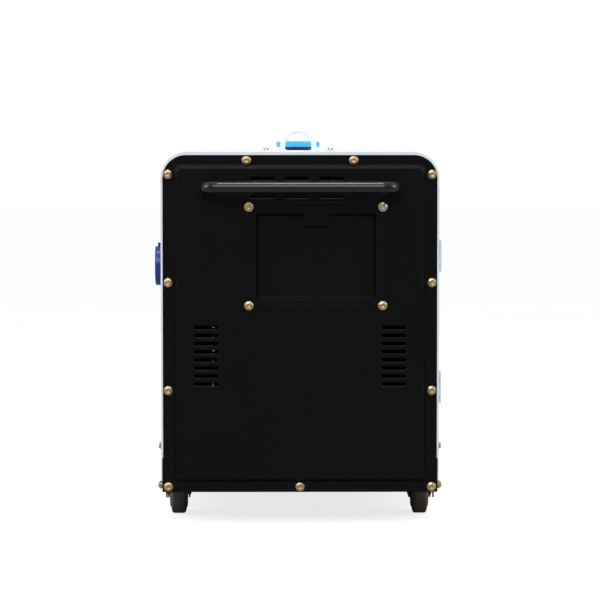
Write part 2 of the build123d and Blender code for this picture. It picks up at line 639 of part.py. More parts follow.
# ---- casters ---------------------------------------------------------------------------------------
WHEEL_R = 40.0
WHEEL_W = 34.0
TREAD_W = 25.0
SHOULDER_R = 5.0
HUB_R = 26.0
HUB_W = 28.0
AXLE_R = 4.0
AXLE_GAP = 0.3
LEG_T = 3.0
LEG_GAP = 1.5
LEG_END_R = 10.0
LEG_TOP_W = 46.0
CASTER_PLATE_T = 4.0
CASTER_WALL_GAP = 1.5    # between the outer leg and the tray's skirt
FIXED_X = TRAY_HALF_W - TRAY_T - CASTER_WALL_GAP - LEG_T - LEG_GAP - WHEEL_W / 2
SWIVEL_X = HALF_W - 80.0
SWIVEL_TRAIL = 25.0
SWIVEL_TURN_GAP = 0.3
KING_R = 6.0
CROWN_Z0 = 2 * WHEEL_R + 3.0
CROWN_T = 3.0
RACE_R = 19.0
PEDAL_Y = -17.0          # brake pivot behind the axle
PEDAL_Z = WHEEL_R + 10.0
PEDAL_L = 40.0
PEDAL_PIN_R = 2.5


def wheel():
    """Tyre with tapered walls and rounded shoulders, and its hub; axle along X through the origin."""
    section = Polyline((-WHEEL_W / 2, HUB_R), (-TREAD_W / 2, WHEEL_R), (TREAD_W / 2, WHEEL_R),
                       (WHEEL_W / 2, HUB_R), close=True)
    face = make_face(section)
    face = fillet(face.vertices().filter_by(lambda v: v.Y > HUB_R + 1), SHOULDER_R)
    tyre = revolve(face, Axis.X, 360)
    hub = bar_x(HUB_R, -HUB_W / 2, HUB_W / 2, 0, 0) + bar_x(10, -WHEEL_W / 2, WHEEL_W / 2, 0, 0)
    dish = bar_x(HUB_R - 5, 0, HUB_W, 0, 0) - bar_x(13, 0, HUB_W, 0, 0)
    for side in (-1, 1):
        hub -= Pos(side * (HUB_W / 2 - 3) + (0 if side > 0 else -HUB_W), 0, 0) * dish
    bore = bar_x(AXLE_R + AXLE_GAP, -WHEEL_W, WHEEL_W, 0, 0)
    return [tyre, hub - bore]


def fork_leg(z_top):
    """One leg in the Y-Z plane, from z_top down to a round end at the axle."""
    half = LEG_TOP_W / 2
    blade = Polygon((-half, z_top), (half, z_top), (LEG_END_R, WHEEL_R), (-LEG_END_R, WHEEL_R), align=None)
    return blade + Pos(0, WHEEL_R) * Circle(LEG_END_R)


def fork_legs(z_top):
    """Both legs and the axle bolt with its two heads, round a wheel centred on X=0."""
    x0 = WHEEL_W / 2 + LEG_GAP
    legs = facing_x(fork_leg(z_top), x0, x0 + LEG_T) + facing_x(fork_leg(z_top), -x0 - LEG_T, -x0)
    axle = bar_x(AXLE_R, -x0 - LEG_T - 2, x0 + LEG_T + 2, 0, WHEEL_R)
    return legs + axle


def fixed_bracket(x):
    """Plate and fork of a fixed caster."""
    plate_x = sorted((x - 42, min(x + 42, TRAY_HALF_W - TRAY_T - 1)))
    bracket = Pos(x, CASTER_Y_REAR, 0) * fork_legs(FLOOR_Z0 - 1)
    return bracket + slab(plate_x[0], plate_x[1], CASTER_Y_REAR - 45, CASTER_Y_REAR + 45,
                          FLOOR_Z0 - CASTER_PLATE_T, FLOOR_Z0)


def swivel_plate(x):
    """Top plate, upper race and king bolt of a swivel caster."""
    y = CASTER_Y_FRONT
    race_z = FLOOR_Z0 - CASTER_PLATE_T - 4
    plate = slab(x - 36, x + 36, y - 36, y + 36, FLOOR_Z0 - CASTER_PLATE_T, FLOOR_Z0)
    plate += bar_z(RACE_R, race_z, FLOOR_Z0 - 1, x, y)
    plate += bar_z(KING_R, CROWN_Z0 - 1, FLOOR_Z0 - 1, x, y)
    return plate + bar_z(KING_R + 3, CROWN_Z0 - 3, CROWN_Z0 - SWIVEL_TURN_GAP, x, y)


def caster_brackets():
    """Everything of the four casters that stays fixed to the tray."""
    left = fixed_bracket(FIXED_X)
    return [left, other_side(left), swivel_plate(SWIVEL_X), swivel_plate(-SWIVEL_X)]


def swivel_fork(x):
    """Turning fork: crown, lower race, legs, axle and the brake's pivot pin."""
    y = CASTER_Y_FRONT
    axle_y = y - SWIVEL_TRAIL
    half = WHEEL_W / 2 + LEG_GAP + LEG_T
    crown_top = CROWN_Z0 + CROWN_T
    fork = slab(x - half, x + half, axle_y - LEG_TOP_W / 2, y + 20, CROWN_Z0, crown_top)
    fork += bar_z(RACE_R, CROWN_Z0, FLOOR_Z0 - CASTER_PLATE_T - 4 - SWIVEL_TURN_GAP, x, y)
    fork += Pos(x, axle_y, 0) * fork_legs(CROWN_Z0 + 1)
    pin_y = axle_y + PEDAL_Y
    fork += bar_x(PEDAL_PIN_R + 2, x + half - LEG_T, x + half, pin_y, PEDAL_Z)
    fork += slab(x + half - LEG_T, x + half, pin_y - 4, axle_y, PEDAL_Z - 6, PEDAL_Z + 6)
    fork += bar_x(PEDAL_PIN_R, x + half - 1, x + half + 5, pin_y, PEDAL_Z)
    fork -= bar_z(KING_R + SWIVEL_TURN_GAP, CROWN_Z0 - 1, FLOOR_Z0, x, y)
    return fork


def brake_pedal(x):
    """Foot lever on the fork's outer face."""
    half = WHEEL_W / 2 + LEG_GAP + LEG_T
    pin_y = CASTER_Y_FRONT - SWIVEL_TRAIL + PEDAL_Y
    x0 = x + half + SWIVEL_TURN_GAP
    lever = slab(x0, x0 + 3, pin_y - PEDAL_L, pin_y, PEDAL_Z - 6, PEDAL_Z + 3)
    lever += bar_x(6.5, x0, x0 + 3, pin_y, PEDAL_Z)
    tread = slab(x - 8, x0 + 3, pin_y - PEDAL_L, pin_y - PEDAL_L + 14, PEDAL_Z - 6, PEDAL_Z - 3)
    return lever + tread - bar_x(PEDAL_PIN_R + AXLE_GAP, x0 - 1, x0 + 4, pin_y, PEDAL_Z)


def wheel_at(x, y):
    """A wheel standing on the floor."""
    return [Pos(x, y, WHEEL_R) * part for part in wheel()]


# ---- control panel ---------------------------------------------------------------------------------
TRAY_WALL = 2.0
TRAY_GAP = 0.5
FASCIA_X = -HALF_W + 10.0      # outer face of the fascia
FASCIA_T = 3.0
BOX_DEPTH = 32.0
CONTROL_FLANGE_W = 8.0
CONTROL_FLANGE_T = 1.5


def control_panel():
    """Recessed fascia, its flange behind the side panel, and the component box behind it."""
    y0 = CONTROL_Y0 + TRAY_GAP
    y1 = CONTROL_Y1 - TRAY_GAP
    z0 = CONTROL_Z0 + TRAY_GAP
    z1 = CONTROL_Z1 - TRAY_GAP
    x_in = FASCIA_X + FASCIA_T
    w = TRAY_WALL
    tray = slab(-HALF_W, x_in, y0, y1, z0, z1)
    tray -= slab(-HALF_W - 1, FASCIA_X, y0 + w, y1 - w, z0 + w, z1 - w)
    f = CONTROL_FLANGE_W
    x0 = -HALF_W + SKIN
    tray += slab(x0, x0 + CONTROL_FLANGE_T, y0 - f, y1 + f, z0 - f, z1 + RAIL_Z0 - CONTROL_Z1 - 2) - slab(
        x0 - 1, x0 + 3, y0 + w, y1 - w, z0 + w, z1 - w)
    box = slab(x_in - 1, x_in + BOX_DEPTH, y0 + 10, y1 - 10, z0 + 10, z1 - 10)
    box -= slab(x_in - 2, x_in + BOX_DEPTH - w, y0 + 12, y1 - 12, z0 + 12, z1 - 12)
    return tray + box


MAIN_Y = CONTROL_Y0 + 162.0
MAIN_Z = CONTROL_Z0 + 152.0
MAIN_FLANGE = 84.0
MAIN_R = 34.0
MAIN_BORE_R = 27.0
MAIN_OUT = 13.7          # barrel in front of its flange
LID_R = 39.0
LID_T = 11.0
LID_WALL = 3.5
LID_GAP = 0.3
LID_AXIS_Z = 42.0        # hinge above the socket's centre
LID_BARREL_R = 4.0
LID_PIN_R = 1.8
LID_BORE_R = 2.1
LID_LUG_W = 20.0
EAR_T = 4.5
SMALL_Y = (MAIN_Y - 105.0, MAIN_Y + 105.0)
SMALL_FLANGE_W = 54.0
SMALL_FLANGE_H = 62.0
SMALL_R = 20.0
SMALL_OUT = 8.0
SMALL_LID = 46.0
SMALL_LID_T = 4.6
SMALL_AXIS_Z = 28.0
SMALL_BARREL_R = 3.0


def main_socket():
    """Large round socket: square flange, barrel, five contacts, ears and hinge pin."""
    x0 = FASCIA_X - 4
    front = x0 - MAIN_OUT
    half = MAIN_FLANGE / 2
    body = slab(x0, FASCIA_X, MAIN_Y - half, MAIN_Y + half, MAIN_Z - half, MAIN_Z + half)
    body += bar_x(MAIN_R, front, x0, MAIN_Y, MAIN_Z)
    body -= bar_x(MAIN_BORE_R, front - 1, x0 + 1, MAIN_Y, MAIN_Z)
    axis_x = x0 - 10
    for side in (-1, 1):
        y = sorted((MAIN_Y + side * (LID_LUG_W / 2 + 0.5), MAIN_Y + side * (LID_LUG_W / 2 + EAR_T)))
        body += slab(axis_x - 3, FASCIA_X, y[0], y[1], MAIN_Z + 30, MAIN_Z + LID_AXIS_Z + 4)
    span = LID_LUG_W / 2 + EAR_T
    body += bar_y(LID_PIN_R, MAIN_Y - span, MAIN_Y + span, axis_x, MAIN_Z + LID_AXIS_Z)
    body -= slab(front - 1, x0, MAIN_Y - LID_LUG_W / 2 - 0.5, MAIN_Y + LID_LUG_W / 2 + 0.5,
                 MAIN_Z + MAIN_R, MAIN_Z + LID_AXIS_Z - LID_PIN_R - 0.1)
    parts = [body]
    for k in range(5):
        a = radians(90 + 72 * k)
        parts.append(bar_x(3, front + 4, x0 + 1, MAIN_Y + 16 * cos(a), MAIN_Z + 16 * sin(a)))
    return parts


def main_lid():
    """Round sprung lid with a lug round the hinge pin."""
    x0 = FASCIA_X - 4
    back = x0 - MAIN_OUT - LID_GAP
    axis_x = x0 - 10
    lid = bar_x(LID_R, back - LID_T, back, MAIN_Y, MAIN_Z)
    lid = fillet(lid.edges().filter_by(GeomType.CIRCLE).sort_by(Axis.X)[0], 3)
    lid -= bar_x(LID_R - LID_WALL, back - LID_T + LID_WALL, back + 1, MAIN_Y, MAIN_Z)
    y0 = MAIN_Y - LID_LUG_W / 2
    y1 = MAIN_Y + LID_LUG_W / 2
    lid += slab(back - 6, axis_x, y0, y1, MAIN_Z + MAIN_R + 1, MAIN_Z + LID_AXIS_Z + 2)
    lid += bar_y(LID_BARREL_R, y0, y1, axis_x, MAIN_Z + LID_AXIS_Z)
    return lid - bar_y(LID_BORE_R, y0 - 1, y1 + 1, axis_x, MAIN_Z + LID_AXIS_Z)


def small_socket(y):
    """Household socket with a hinge pin over it."""
    x0 = FASCIA_X - 3
    w = SMALL_FLANGE_W / 2
    h = SMALL_FLANGE_H / 2
    body = slab(x0, FASCIA_X, y - w, y + w, MAIN_Z - h, MAIN_Z + h + 1)
    body += bar_x(SMALL_R, x0 - SMALL_OUT + 3, x0, y, MAIN_Z)
    body -= bar_x(SMALL_R - 3, x0 - SMALL_OUT, x0 + 1.5, y, MAIN_Z)
    axis_x = x0 - 4
    for side in (-1, 1):
        ys = sorted((y + side * 8.5, y + side * 12))
        body += slab(axis_x - 3, FASCIA_X, ys[0], ys[1], MAIN_Z + SMALL_AXIS_Z - 3, MAIN_Z + SMALL_AXIS_Z + 3)
    return body + bar_y(LID_PIN_R - 0.4, y - 12, y + 12, axis_x, MAIN_Z + SMALL_AXIS_Z)


def small_lid(y):
    """Square sprung lid of a household socket."""
    x0 = FASCIA_X - 3
    axis_x = x0 - 4
    back = x0 - SMALL_OUT + 3 - LID_GAP
    face = Pos(y, MAIN_Z) * RectangleRounded(SMALL_LID, SMALL_LID, 5)
    lid = facing_x(face, back - SMALL_LID_T, back)
    lid += slab(back - SMALL_LID_T, axis_x, y - 8, y + 8, MAIN_Z + SMALL_LID / 2 - 1, MAIN_Z + SMALL_AXIS_Z)
    lid += bar_y(SMALL_BARREL_R, y - 8, y + 8, axis_x, MAIN_Z + SMALL_AXIS_Z)
    return lid - bar_y(LID_PIN_R, y - 9, y + 9, axis_x, MAIN_Z + SMALL_AXIS_Z)


METER_Y = MAIN_Y - 112.0
UPPER_Z = MAIN_Z + 85.0
METER_SIZE = 66.0
HOURS_Y = MAIN_Y - 32.0
LAMP_Y = (MAIN_Y + 14.0, MAIN_Y + 37.0, MAIN_Y + 60.0)
KEY_Y = MAIN_Y + 110.0
LOWER_Z = MAIN_Z - 97.0
BREAKER_Y = MAIN_Y - 95.0
POST_Y = (MAIN_Y - 22.0, MAIN_Y + 8.0)
STOP_Y = MAIN_Y + 50.0
EARTH_Y = MAIN_Y + 105.0
EARTH_Z = MAIN_Z - 112.0


def meters():
    """Voltmeter and hour counter, each a bezel round a sunken dial."""
    m = METER_SIZE / 2
    volt = facing_x(Pos(METER_Y, UPPER_Z) * RectangleRounded(2 * m, 2 * m, 6), FASCIA_X - 7, FASCIA_X)
    volt -= bar_x(m - 6, FASCIA_X - 8, FASCIA_X - 4, METER_Y, UPPER_Z)
    hours = facing_x(Pos(HOURS_Y, UPPER_Z) * RectangleRounded(48, 30, 4), FASCIA_X - 6, FASCIA_X)
    hours -= slab(FASCIA_X - 7, FASCIA_X - 4, HOURS_Y - 18, HOURS_Y + 18, UPPER_Z - 9, UPPER_Z + 9)
    return [volt, hours]


def breaker():
    """Circuit breaker housing with its lever slot."""
    box = slab(FASCIA_X - 8, FASCIA_X, BREAKER_Y - 27, BREAKER_Y + 27, LOWER_Z - 38, LOWER_Z + 38)
    return box - slab(FASCIA_X - 9, FASCIA_X - 1, BREAKER_Y - 7, BREAKER_Y + 7, LOWER_Z - 16, LOWER_Z + 16)


def breaker_lever():
    """Rocking lever in the breaker's slot."""
    x = FASCIA_X - 6.3
    lever = bar_y(4.5, BREAKER_Y - 6.5, BREAKER_Y + 6.5, x, LOWER_Z)
    return lever + slab(x - 9, x, BREAKER_Y - 6, BREAKER_Y + 6, LOWER_Z - 3, LOWER_Z + 3)


KEY_STUB_R = 4.0
STOP_R = 11.0
STOP_STEM_R = 6.0


def switch_bezels():
    """Fixed rings of the key switch and the stop button."""
    key = bar_x(14, FASCIA_X - 6, FASCIA_X, KEY_Y, UPPER_Z)
    key -= bar_x(KEY_STUB_R + 0.3, FASCIA_X - 7, FASCIA_X - 1.7, KEY_Y, UPPER_Z)
    stop = bar_x(15, FASCIA_X - 4, FASCIA_X, STOP_Y, LOWER_Z)
    return [key, stop - bar_x(STOP_STEM_R + 0.3, FASCIA_X - 5, FASCIA_X + 0.1, STOP_Y, LOWER_Z)]


def ignition_key():
    """Key with a flat bow, its stub in the switch."""
    x0 = FASCIA_X - 6.3
    bow = facing_y(Pos(x0 - 8, UPPER_Z) * RectangleRounded(12, 20, 4), KEY_Y - 1.3, KEY_Y + 1.3)
    bow -= bar_y(2.5, KEY_Y - 3, KEY_Y + 3, x0 - 9, UPPER_Z)
    return bow + bar_x(KEY_STUB_R, x0 - 3, x0 + 4, KEY_Y, UPPER_Z)


def stop_button():
    """Mushroom button on a stem; it travels towards the fascia."""
    head = bar_x(STOP_R, FASCIA_X - 15, FASCIA_X - 9, STOP_Y, LOWER_Z)
    head = fillet(head.edges().filter_by(GeomType.CIRCLE).sort_by(Axis.X)[0], 2.5)
    return head + bar_x(STOP_STEM_R, FASCIA_X - 10, FASCIA_X - 4.4, STOP_Y, LOWER_Z)


def indicator_lamps():
    """Three round lamps."""
    lamps = []
    for y in LAMP_Y:
        lens = bar_x(6, FASCIA_X - 7, FASCIA_X - 2, y, UPPER_Z)
        lens = fillet(lens.edges().filter_by(GeomType.CIRCLE).sort_by(Axis.X)[0], 2.5)
        lamps.append(lens + bar_x(8, FASCIA_X - 2.5, FASCIA_X, y, UPPER_Z))
    return lamps


def terminals():
    """Two battery-charging posts and the earth stud with its nut."""
    posts = []
    for y in POST_Y:
        cap = bar_x(8.5, FASCIA_X - 14, FASCIA_X - 5, y, LOWER_Z)
        collar = bar_x(10, FASCIA_X - 2, FASCIA_X, y, LOWER_Z)
        posts.append(cap + bar_x(5, FASCIA_X - 6, FASCIA_X, y, LOWER_Z) + collar)
    hexagon = Pos(EARTH_Y, EARTH_Z) * RegularPolygon(7.5, 6, major_radius=False)
    nut = facing_x(hexagon, FASCIA_X - 8, FASCIA_X - 1.5)
    washer = bar_x(10, FASCIA_X - 1.6, FASCIA_X, EARTH_Y, EARTH_Z)
    return posts + [nut + washer + bar_x(4, FASCIA_X - 18, FASCIA_X, EARTH_Y, EARTH_Z)]


# ---- engine ----------------------------------------------------------------------------------------
SHAFT_Z = 290.0
BLOCK_W = 210.0
BLOCK_Y0 = 0.0
BLOCK_Y1 = 205.0
BLOCK_Z0 = 160.0
BLOCK_Z1 = 385.0
CRANKCASE_R = 74.0
JOURNAL_R = 20.0
JOURNAL_GAP = 0.4
CYL_Y = 130.0
CYL_CORE = 104.0
FIN_SIZE = 128.0
FIN_T = 3.0
FIN_PITCH = 11.0
CYL_TOP = 520.0
HEAD_H = 40.0
ROCKER_H = 36.0
BED_Z0 = 140.0
MOUNT_R = 20.0
MOUNT_X = 95.0
MOUNT_Y = (-230.0, 160.0)
DIPSTICK_X = -BLOCK_W / 2 - 10.0
DIPSTICK_Y = 40.0
DIPSTICK_R = 2.5
DIPSTICK_TOP = 300.0


def engine_block():
    """Crankcase, hollow for the crankshaft, with sump drain, dipstick tube and oil filter."""
    half = BLOCK_W / 2
    block = slab(-half, half, BLOCK_Y0, BLOCK_Y1, BLOCK_Z0, BLOCK_Z1)
    block = chamfer(block.edges().filter_by(Axis.Y), 14)
    block -= bar_y(CRANKCASE_R, BLOCK_Y0 + 14, BLOCK_Y1 - 14, 0, SHAFT_Z)
    tube = bar_z(7, 200, DIPSTICK_TOP, DIPSTICK_X, DIPSTICK_Y)
    block += tube + slab(DIPSTICK_X, -half + 2, DIPSTICK_Y - 4, DIPSTICK_Y + 4, 205, 225)
    block -= bar_z(DIPSTICK_R + 0.5, 204, DIPSTICK_TOP + 1, DIPSTICK_X, DIPSTICK_Y)
    block += bar_x(10, half - 2, half + 14, 100, BLOCK_Z0 + 24)
    block -= bar_y(JOURNAL_R + JOURNAL_GAP, BLOCK_Y0 - 1, BLOCK_Y1 + 1, 0, SHAFT_Z)
    oil_filter = bar_x(34, -half - 70, -half, 150, 230)
    return [block, oil_filter]


def cylinder():
    """Finned barrel, cylinder head and rocker cover."""
    half = CYL_CORE / 2
    fin = FIN_SIZE / 2
    body = slab(-half, half, CYL_Y - half, CYL_Y + half, BLOCK_Z1, CYL_TOP)
    z = BLOCK_Z1 + FIN_PITCH
    while z + FIN_T < CYL_TOP:
        body += slab(-fin, fin, CYL_Y - fin, CYL_Y + fin, z, z + FIN_T)
        z += FIN_PITCH
    head_z = CYL_TOP + HEAD_H
    body += slab(-fin - 8, fin + 8, CYL_Y - fin, CYL_Y + fin, CYL_TOP, head_z)
    cover = slab(-fin, fin, CYL_Y - fin + 8, CYL_Y + fin - 8, head_z, head_z + ROCKER_H)
    return body + fillet(cover.edges().filter_by(Axis.Z), 16)


CRANK_Y0 = -20.0
CRANK_Y1 = 236.0
WEB_R = 56.0
WEB_T = 16.0
THROW = 32.0
PIN_R = 18.0
PIN_L = 26.0
HUB_FAN_Y = 212.0
FAN_DISC_R = 106.0
FAN_DISC_T = 16.0
FAN_BLADES = 20
BLADE_L = 34.0
BLADE_T = 3.0
SCROLL_R = 130.0
SCROLL_WALL = 4.0
SCROLL_Y0 = 207.0
SCROLL_Y1 = 290.0
SCROLL_INLET_R = 78.0


def crankshaft():
    """Journals, two webs and the crank pin."""
    y = (BLOCK_Y0 + BLOCK_Y1) / 2
    a = y - PIN_L / 2
    b = y + PIN_L / 2
    shaft = bar_y(JOURNAL_R, CRANK_Y0, a, 0, SHAFT_Z) + bar_y(JOURNAL_R, b, CRANK_Y1, 0, SHAFT_Z)
    shaft += bar_y(WEB_R, a - WEB_T, a, 0, SHAFT_Z) + bar_y(WEB_R, b, b + WEB_T, 0, SHAFT_Z)
    return shaft + bar_y(PIN_R, a - 1, b + 1, 0, SHAFT_Z + THROW)


def flywheel_fan():
    """Flywheel with a ring of fan blades on its outer face."""
    fan = bar_y(FAN_DISC_R, HUB_FAN_Y, HUB_FAN_Y + FAN_DISC_T, 0, SHAFT_Z) + bar_y(
        34, HUB_FAN_Y, CRANK_Y1 + 6, 0, SHAFT_Z)
    y0 = HUB_FAN_Y + FAN_DISC_T - 1
    blade = slab(72, FAN_DISC_R - 1, y0, y0 + BLADE_L, -BLADE_T / 2, BLADE_T / 2)
    for k in range(FAN_BLADES):
        fan += Pos(0, 0, SHAFT_Z) * Rot(0, 360 / FAN_BLADES * k, 0) * blade
    return fan - bar_y(JOURNAL_R, HUB_FAN_Y - 1, CRANK_Y1, 0, SHAFT_Z)


def blower_housing():
    """Scroll round the fan, duct up to the cylinder and the foot for the muffler bracket."""
    outer = bar_y(SCROLL_R, SCROLL_Y0, SCROLL_Y1, 0, SHAFT_Z)
    foot_z = SHAFT_Z + SCROLL_R + 6
    outer += slab(-56, 56, SCROLL_Y0, SCROLL_Y0 + 46, SHAFT_Z + 60, CYL_TOP)
    outer += slab(-30, 30, SCROLL_Y0 + 20, SCROLL_Y1, SHAFT_Z + 100, foot_z)
    w = SCROLL_WALL
    inner = bar_y(SCROLL_R - w, SCROLL_Y0 + w, SCROLL_Y1 - w, 0, SHAFT_Z)
    inner += slab(-56 + w, 56 - w, SCROLL_Y0 + w, SCROLL_Y0 + 46 - w, SHAFT_Z + 60, CYL_TOP - w)
    inner += slab(-56 + w, 56 - w, SCROLL_Y0 - 1, SCROLL_Y0 + 20, BLOCK_Z1 + 10, CYL_TOP - w)
    housing = outer - inner
    housing -= bar_y(SCROLL_INLET_R, SCROLL_Y1 - 10, SCROLL_Y1 + 1, 0, SHAFT_Z)
    return housing - bar_y(JOURNAL_R + 6, SCROLL_Y0 - 1, SCROLL_Y0 + 10, 0, SHAFT_Z)


# ---- alternator ------------------------------------------------------------------------------------
ALT_R = 112.0
ALT_WALL = 10.0
ALT_Y0 = -288.0
STATOR_Y = (-214.0, -74.0)
STATOR_BORE = 71.5
ROTOR_R = 70.0
ALT_SHAFT_R = 16.0
BEARING_GAP = 0.4


def alternator_housing():
    """Cast housing bolted to the crankcase, vented end bell, and the stator core inside."""
    shell = bar_y(ALT_R, ALT_Y0, BLOCK_Y0, 0, SHAFT_Z)
    shell -= bar_y(ALT_R - ALT_WALL, ALT_Y0 + 10, BLOCK_Y0 - 8, 0, SHAFT_Z)
    shell -= bar_y(ALT_SHAFT_R + BEARING_GAP, ALT_Y0 - 1, ALT_Y0 + 11, 0, SHAFT_Z)
    shell -= bar_y(JOURNAL_R + JOURNAL_GAP, -20, 1, 0, SHAFT_Z)
    for k in range(12):
        a = radians(30 * k)
        shell -= bar_y(9, ALT_Y0 - 1, ALT_Y0 + 11, 76 * cos(a), SHAFT_Z + 76 * sin(a))
    core = bar_y(ALT_R - ALT_WALL, STATOR_Y[0], STATOR_Y[1], 0, SHAFT_Z)
    core -= bar_y(STATOR_BORE, STATOR_Y[0] - 1, STATOR_Y[1] + 1, 0, SHAFT_Z)
    return [shell, core]


def alternator_rotor():
    """Rotor core and cooling fan on a shaft that joins the crankshaft."""
    rotor = bar_y(ROTOR_R, STATOR_Y[0] + 4, STATOR_Y[1] - 4, 0, SHAFT_Z)
    rotor += bar_y(ALT_SHAFT_R, ALT_Y0 + 2, CRANK_Y0, 0, SHAFT_Z)
    return rotor + bar_y(88, -56, -44, 0, SHAFT_Z)


def engine_bed():
    """Two channel rails, cross pieces and the saddle under the alternator."""
    bed = slab(-MOUNT_X - 22, -MOUNT_X + 22, MOUNT_Y[0] - 30, BLOCK_Y1, BED_Z0, BLOCK_Z0)
    bed += other_side(bed)
    for y in (MOUNT_Y[0], -90.0, 60.0):
        bed += slab(-MOUNT_X, MOUNT_X, y - 15, y + 15, BED_Z0 + 4, BLOCK_Z0)
    saddle = slab(-45, 45, -190, -150, BLOCK_Z0 - 10, SHAFT_Z - 60)
    saddle += slab(-MOUNT_X, MOUNT_X, -190, -150, BED_Z0 + 4, BLOCK_Z0)
    return bed + saddle - bar_y(ALT_R, -200, -140, 0, SHAFT_Z)


def rubber_mounts():
    """Four waisted mounts between tray floor and engine bed."""
    mounts = []
    for side in (-1, 1):
        for y in MOUNT_Y:
            mount = bar_z(MOUNT_R - 5, FLOOR_Z, BED_Z0, side * MOUNT_X, y)
            mount += bar_z(MOUNT_R, FLOOR_Z, FLOOR_Z + 8, side * MOUNT_X, y)
            mounts.append(mount + bar_z(MOUNT_R, BED_Z0 - 8, BED_Z0, side * MOUNT_X, y))
    return mounts


def starter_motor():
    """Starter body, solenoid and the flange against the crankcase."""
    x = BLOCK_W / 2 + 34
    motor = bar_y(32, 60, 190, x, 225) + bar_y(16, 90, 180, x + 6, 270)
    motor += slab(x - 10, x + 16, 120, 150, 225, 270)
    return motor + slab(BLOCK_W / 2, x + 20, 180, 192, 195, 260)


def air_cleaner():
    """Air cleaner box, its clip lid and the pipe to the cylinder head."""
    x1 = -FIN_SIZE / 2 - 26
    box = slab(x1 - 90, x1, 85, 175, 440, 560)
    box = fillet(box.edges().filter_by(Axis.X), 16)
    lid = slab(x1 - 96, x1 - 90, 82, 178, 437, 563)
    return box + lid + bar_x(18, x1 - 1, -FIN_SIZE / 2 - 8, CYL_Y, 540)


def dipstick():
    """Rod with a looped grip, standing in its tube."""
    rod = bar_z(DIPSTICK_R, 208, DIPSTICK_TOP + 6, DIPSTICK_X, DIPSTICK_Y)
    stop = bar_z(7, DIPSTICK_TOP, DIPSTICK_TOP + 5, DIPSTICK_X, DIPSTICK_Y)
    loop = Pos(DIPSTICK_X, DIPSTICK_Y, DIPSTICK_TOP + 15) * Rot(0, 90, 0) * Torus(9, 2)
    return rod + stop + loop


# ---- fuel ------------------------------------------------------------------------------------------
TANK_HALF_W = 180.0
TANK_Y0 = -380.0
TANK_Y1 = 50.0
TANK_Z0 = ROOF_Z - 145.0
TANK_Z1 = ROOF_Z - 26.0
NECK_TOP = ROOF_Z + 10.0
NECK_BORE = 30.0
CAP_R = 44.0
CAP_Z0 = NECK_TOP
CAP_H = 13.0
CAP_PLUG_GAP = 0.4
CRADLE_X = 150.0
CRADLE_TUBE = 25.0
CRADLE_Y = (-340.0, 25.0)


def fuel_tank():
    """Rounded tank with its filler neck through the roof."""
    tank = slab(-TANK_HALF_W, TANK_HALF_W, TANK_Y0, TANK_Y1, TANK_Z0, TANK_Z1)
    tank = fillet(tank.edges().filter_by(Axis.Z), 24)
    tank = fillet(tank.faces().sort_by(Axis.Z)[-1].edges(), 8)
    tank += bar_z(NECK_R, TANK_Z1 - 10, NECK_TOP, NECK_X, NECK_Y)
    return tank - bar_z(NECK_BORE, NECK_TOP - 60, NECK_TOP + 1, NECK_X, NECK_Y)


def fuel_cap():
    """Ribbed cap that sits on the neck, with a plug inside it."""
    cap = bar_z(CAP_R, CAP_Z0, CAP_Z0 + CAP_H, NECK_X, NECK_Y)
    cap = fillet(cap.faces().sort_by(Axis.Z)[-1].edges(), 3)
    for k in range(24):
        a = 2 * pi * k / 24
        x = NECK_X + (CAP_R + 0.6) * cos(a)
        y = NECK_Y + (CAP_R + 0.6) * sin(a)
        cap -= bar_z(1.6, CAP_Z0 - 1, CAP_Z0 + CAP_H + 1, x, y)
    return cap + bar_z(NECK_BORE - CAP_PLUG_GAP, NECK_TOP - 12, CAP_Z0 + 1, NECK_X, NECK_Y)


def tank_cradle():
    """Four posts and two cross beams that carry the fuel tank."""
    t = CRADLE_TUBE
    cradle = None
    for y in CRADLE_Y:
        beam = slab(-CRADLE_X - t / 2, CRADLE_X + t / 2, y - t / 2, y + t / 2, TANK_Z0 - t, TANK_Z0)
        for side in (-1, 1):
            x = side * CRADLE_X
            beam += slab(x - t / 2, x + t / 2, y - t / 2, y + t / 2, FLOOR_Z, TANK_Z0 - 1)
        cradle = beam if cradle is None else cradle + beam
    for side in (-1, 1):
        x = side * CRADLE_X
        cradle += slab(x - t / 2, x + t / 2, CRADLE_Y[0], CRADLE_Y[1], TANK_Z0 - t, TANK_Z0)
    return cradle


# ---- exhaust ---------------------------------------------------------------------------------------
MUFFLER_R = 52.0
MUFFLER_HALF_L = 125.0
HEADER_R = 14.0
OUTLET_OUT = 20.0        # beyond the side panel
OUTLET_WALL = 2.0
OUTLET_STEP = 1.0        # the tail pipe is this much slimmer inside the canopy


